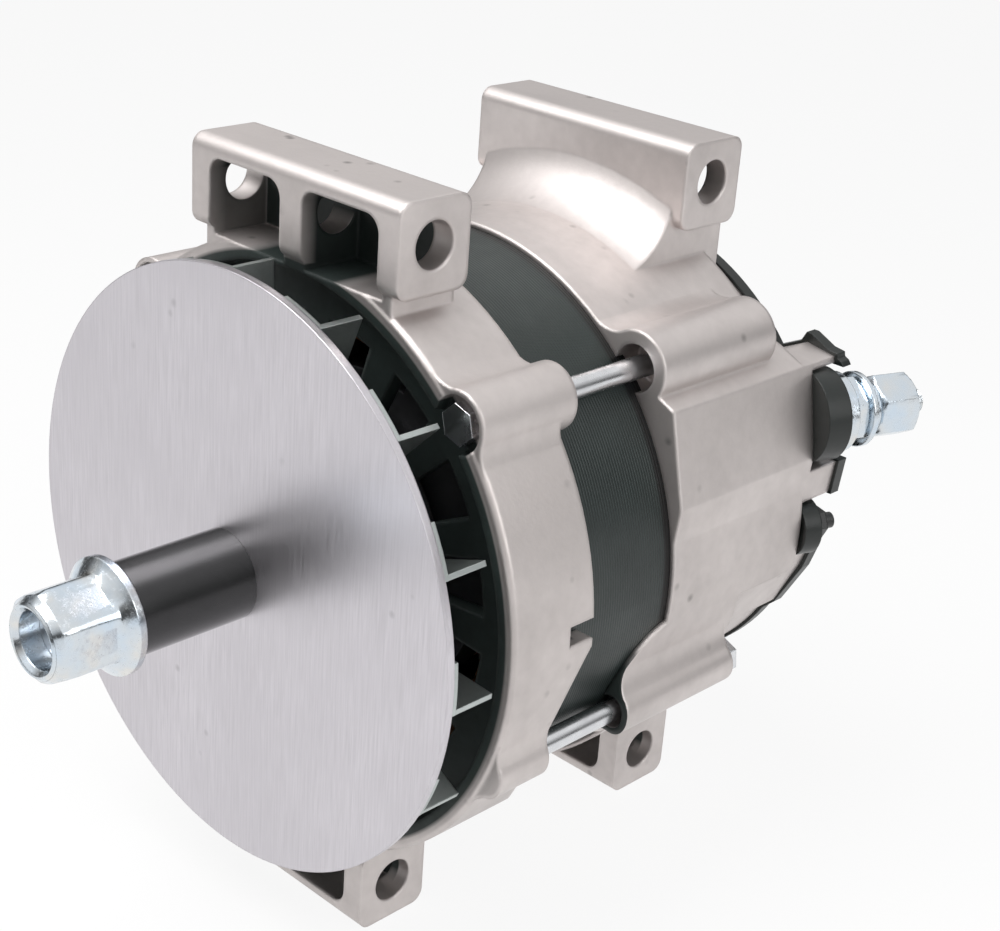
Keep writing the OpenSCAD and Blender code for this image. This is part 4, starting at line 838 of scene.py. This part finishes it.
class ALTERNATOR_OT_nose_nut(Operator):
    """Model the flanged nut on the shaft nose, with its rounded hexagon"""

    bl_idname = "alternator.nose_nut"
    bl_label = "Nose Nut"

    def execute(self, context):
        count = context.scene.alternator.hardware.nut_segments
        low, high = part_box("pulley_nut")
        flange = (high.x - low.x) / 2
        bore = 8.0 * MM
        start, end = low.y, high.y
        half_flats = 12.0 * MM
        corner = 13.4 * MM
        rim = 10.6 * MM
        sections = [
            (round_radii(bore, count), start + 1.6 * MM),
            (round_radii(bore + 1.3 * MM, count), start + 0.2 * MM),
            (round_radii(rim - 0.7 * MM, count), start),
            (round_radii(rim, count), start + 0.7 * MM),
            (hex_radii(half_flats * 0.965, count, 0.55), start + 2.6 * MM),
            (hex_radii(half_flats, count, 0.2, corner), start + 5.0 * MM),
            (hex_radii(half_flats, count, 0.0, corner), start + 7.0 * MM),
            (hex_radii(half_flats, count, 0.0, corner), end - 6.6 * MM),
            (round_radii(corner, count), end - 5.4 * MM),
            (round_radii(flange - 1.0 * MM, count), end - 3.4 * MM),
            (round_radii(flange, count), end - 2.6 * MM),
            (round_radii(flange, count), end - 0.6 * MM),
            (round_radii(flange - 0.6 * MM, count), end),
            (round_radii(bore, count), end),
        ]
        mesh_builder = bmesh.new()
        loft(mesh_builder, sections)
        mesh_builder.transform(along_shaft())
        finish_zinc_piece(mesh_builder, "flanged_nose_nut", "rotor", "pulley_nut")
        return {"FINISHED"}


class ALTERNATOR_OT_terminal_hardware(Operator):
    """Model the nuts, the washers and the threads of the output terminal"""

    bl_idname = "alternator.terminal_hardware"
    bl_label = "Terminal Hardware"

    def execute(self, context):
        settings = context.scene.alternator.hardware
        count = settings.nut_segments
        turn = terminal_matrix("output_stud")
        self.make_clamp_nut(count, turn)
        self.make_washers(count, turn)
        self.make_outer_nut(count, turn)
        self.make_stud(count, turn, settings.stud_pitch)
        return {"FINISHED"}

    def make_clamp_nut(self, count, turn):
        """The inner nut: a hexagon on a round flange"""
        low, high = span_along("output_stud", "output_clamp_nut")
        flange = radius_about("output_stud", "output_clamp_nut")
        rim_end = low + (high - low) * 0.42
        hexagon = bevelled_hex(count, 9.4 * MM, STUD_BORE, low, high, corner=10.7 * MM, chamfer=1.2 * MM)
        above_flange = hexagon[5:]
        collar = [
            (round_radii(STUD_BORE, count), low), (round_radii(flange - 0.5 * MM, count), low),
            (round_radii(flange, count), low + 0.5 * MM), (round_radii(flange, count), rim_end),
            (round_radii(flange - 0.9 * MM, count), rim_end + 0.8 * MM),
        ]
        mesh_builder = bmesh.new()
        loft(mesh_builder, collar + above_flange)
        mesh_builder.transform(turn)
        finish_zinc_piece(mesh_builder, "clamp_nut", "housing", "output_clamp_nut")

    def make_washers(self, count, turn):
        """A flat washer and a narrower spring washer on it"""
        low, high = span_along("output_stud", "output_washers")
        wide = radius_about("output_stud", "output_washers")
        step = low + (high - low) * 0.4
        mesh_builder = bmesh.new()
        loft(mesh_builder, [
            (round_radii(STUD_BORE, count), low), (round_radii(wide - 0.3 * MM, count), low),
            (round_radii(wide, count), low + 0.3 * MM), (round_radii(wide, count), step - 0.3 * MM),
            (round_radii(wide - 0.3 * MM, count), step), (round_radii(STUD_BORE, count), step),
        ])
        inner, outer = STUD_BORE + 0.4 * MM, 8.4 * MM
        seat = step + 0.05 * MM
        loft(mesh_builder, [
            (round_radii(inner, count), seat), (round_radii(outer, count), seat),
            (round_radii(outer, count), high), (round_radii(inner, count), high),
        ])
        mesh_builder.transform(turn)
        finish_zinc_piece(mesh_builder, "terminal_washers", "housing", "output_washers")

    def make_outer_nut(self, count, turn):
        """The plain hex nut at the outer end"""
        low, high = span_along("output_stud", "output_nut")
        mesh_builder = bmesh.new()
        nut = bevelled_hex(count, 9.0 * MM, STUD_BORE, low, high, corner=10.2 * MM, chamfer=1.4 * MM)
        loft(mesh_builder, nut)
        mesh_builder.transform(turn)
        finish_zinc_piece(mesh_builder, "terminal_nut", "housing", "output_nut")

    def make_stud(self, count, turn, pitch):
        """The stud: a hexagonal inner end, a screw thread and a chamfered tip"""
        low, high = span_along("output_stud", "output_stud")
        mesh_builder = bmesh.new()
        head = low + 5.0 * MM
        hexagon = bevelled_hex(count, 4.3 * MM, 1.0 * MM, low, head, corner=4.95 * MM, chamfer=0.6 * MM)
        loft(mesh_builder, hexagon)
        threaded_rod(mesh_builder, 3.98 * MM, head, high - 0.8 * MM, pitch, 0.5 * MM)
        hollow, tip = 0.5 * MM, high - 0.9 * MM
        loft(mesh_builder, [
            (round_radii(hollow, count), tip), (round_radii(3.4 * MM, count), tip),
            (round_radii(2.8 * MM, count), high), (round_radii(hollow, count), high),
        ])
        mesh_builder.transform(turn)
        finish_zinc_piece(mesh_builder, "threaded_stud", "housing", "output_stud")


class ALTERNATOR_OT_stage(Operator):
    """Set up the floor, the lamps, the world and the camera"""

    bl_idname = "alternator.stage"
    bl_label = "Studio"

    def execute(self, context):
        settings = context.scene.alternator.studio
        self.make_floor(settings)
        self.make_world()
        self.make_lamps(settings)
        self.make_camera(context, settings)
        context.scene.view_settings.view_transform = "Standard"
        return {"FINISHED"}

    def make_floor(self, settings):
        """A wide floor under the feet, which shines by itself where the camera or a mirror sees it"""
        mesh_builder = bmesh.new()
        bmesh.ops.create_grid(mesh_builder, x_segments=1, y_segments=1, size=6.0)
        floor_height = CAD_BOX[0].z - FLOOR_GAP
        bmesh.ops.translate(mesh_builder, verts=mesh_builder.verts, vec=(0, 0, floor_height))
        floor = add_object("studio_floor", mesh_from(mesh_builder, "studio_floor"))
        material = bpy.data.materials.new("Studio floor")
        material.use_nodes = True
        tree = material.node_tree
        tree.nodes.clear()
        paint = new_node(tree, "ShaderNodeBsdfDiffuse", Color=(*settings.floor_color, 1.0))
        glow = new_node(tree, "ShaderNodeEmission", Strength=1.0)
        path = tree.nodes.new("ShaderNodeLightPath")
        output = tree.nodes.new("ShaderNodeOutputMaterial")
        seen = math_node(tree, "MAXIMUM", path.outputs["Is Camera Ray"], path.outputs["Is Glossy Ray"])
        glowing = math_node(tree, "MULTIPLY", seen, 0.9)
        mixed = mix_shaders(tree, glowing, paint.outputs[0], glow.outputs[0])
        tree.links.new(mixed, output.inputs["Surface"])
        floor.data.materials.append(material)

    def make_world(self):
        """White to the camera, an even light on matt faces, and a dark horizon in reflections"""
        world = bpy.data.worlds.new("Studio")
        bpy.context.scene.world = world
        world.use_nodes = True
        tree = world.node_tree
        tree.nodes.clear()
        path = tree.nodes.new("ShaderNodeLightPath")
        split = tree.nodes.new("ShaderNodeSeparateXYZ")
        tree.links.new(tree.nodes.new("ShaderNodeTexCoord").outputs["Generated"], split.inputs[0])
        up = remap(tree, split.outputs["Z"], 0.2, 0.62, 0.08, 1.15)
        low = remap(tree, split.outputs["Z"], -0.3, 0.0, 0.7, 0.0)
        reflected = new_node(tree, "ShaderNodeBackground")
        tree.links.new(math_node(tree, "ADD", up, low), reflected.inputs["Strength"])
        lit = new_node(tree, "ShaderNodeBackground", Strength=0.42)
        seen = new_node(tree, "ShaderNodeBackground", Color=(1.0, 1.0, 1.0, 1.0), Strength=1.0)
        glossy, through = path.outputs["Is Glossy Ray"], path.outputs["Is Transmission Ray"]
        shiny = math_node(tree, "MAXIMUM", glossy, through)
        output = tree.nodes.new("ShaderNodeOutputWorld")
        lighting = mix_shaders(tree, shiny, lit.outputs[0], reflected.outputs[0])
        mixed = mix_shaders(tree, path.outputs["Is Camera Ray"], lighting, seen.outputs[0])
        tree.links.new(mixed, output.inputs["Surface"])

    def make_lamps(self, settings):
        """A wide lamp above and a weaker one at the right-hand side"""
        self.make_lamp("top_softbox", settings.key_power, (-0.15, -0.25, 0.75), 0.6)
        self.make_lamp("side_softbox", settings.fill_power, (0.75, 0.1, 0.35), 0.5)

    def make_lamp(self, name, power, place, size):
        """A square lamp that points at the middle of the machine"""
        lamp = bpy.data.lights.new(name, "AREA")
        lamp.energy = power
        lamp.size = size
        shown = add_object(name, lamp)
        shown.location = place
        aim = (CAD_BOX[0] + CAD_BOX[1]) / 2 - Vector(place)
        shown.rotation_euler = aim.to_track_quat("-Z", "Y").to_euler()

    def make_camera(self, context, settings):
        """The photo's camera, from its angles, its place and its lens"""
        turn, lift, roll = settings.azimuth, settings.elevation, settings.roll
        reach = math.cos(lift)
        back = Vector((math.sin(turn) * reach, -math.cos(turn) * reach, math.sin(lift)))
        level = Vector((math.cos(turn), math.sin(turn), 0.0))
        upright = back.cross(level)
        right = level * math.cos(roll) + upright * math.sin(roll)
        up = upright * math.cos(roll) - level * math.sin(roll)
        lens = bpy.data.cameras.new("photo_camera")
        lens.lens = settings.lens
        lens.sensor_width = 36.0
        lens.clip_start = 0.01
        camera = add_object("photo_camera", lens)
        view = Matrix((right, up, back)).transposed().to_4x4()
        camera.matrix_world = Matrix.Translation(settings.place) @ view
        context.scene.camera = camera


STEPS = (
    ALTERNATOR_OT_stage,
    ALTERNATOR_OT_finishes,
    ALTERNATOR_OT_nose_nut,
    ALTERNATOR_OT_terminal_hardware,
)


class ALTERNATOR_PT_sidebar(Panel):
    """Sidebar panel that lists the steps and their settings"""

    bl_label = "Alternator"
    bl_idname = "ALTERNATOR_PT_sidebar"
    bl_space_type = "VIEW_3D"
    bl_region_type = "UI"
    bl_category = "Alternator"

    def draw(self, context):
        settings = context.scene.alternator
        for step in STEPS:
            self.layout.operator(step.bl_idname)
        for group in (settings.casting, settings.sheet, settings.hardware, settings.studio):
            box = self.layout.box()
            for name in group.__annotations__:
                box.prop(group, name)


CLASSES = (
    CastingSettings, SheetSettings, HardwareSettings, StudioSettings, AlternatorSettings, *STEPS,
    ALTERNATOR_PT_sidebar,
)


def register():
    for cls in CLASSES:
        bpy.utils.register_class(cls)
    bpy.types.Scene.alternator = PointerProperty(type=AlternatorSettings)


def unregister():
    del bpy.types.Scene.alternator
    for cls in reversed(CLASSES):
        bpy.utils.unregister_class(cls)


def main():
    register()
    for step in STEPS:
        family, name = step.bl_idname.split(".")
        getattr(getattr(bpy.ops, family), name)()


if __name__ == "__main__":
    main()
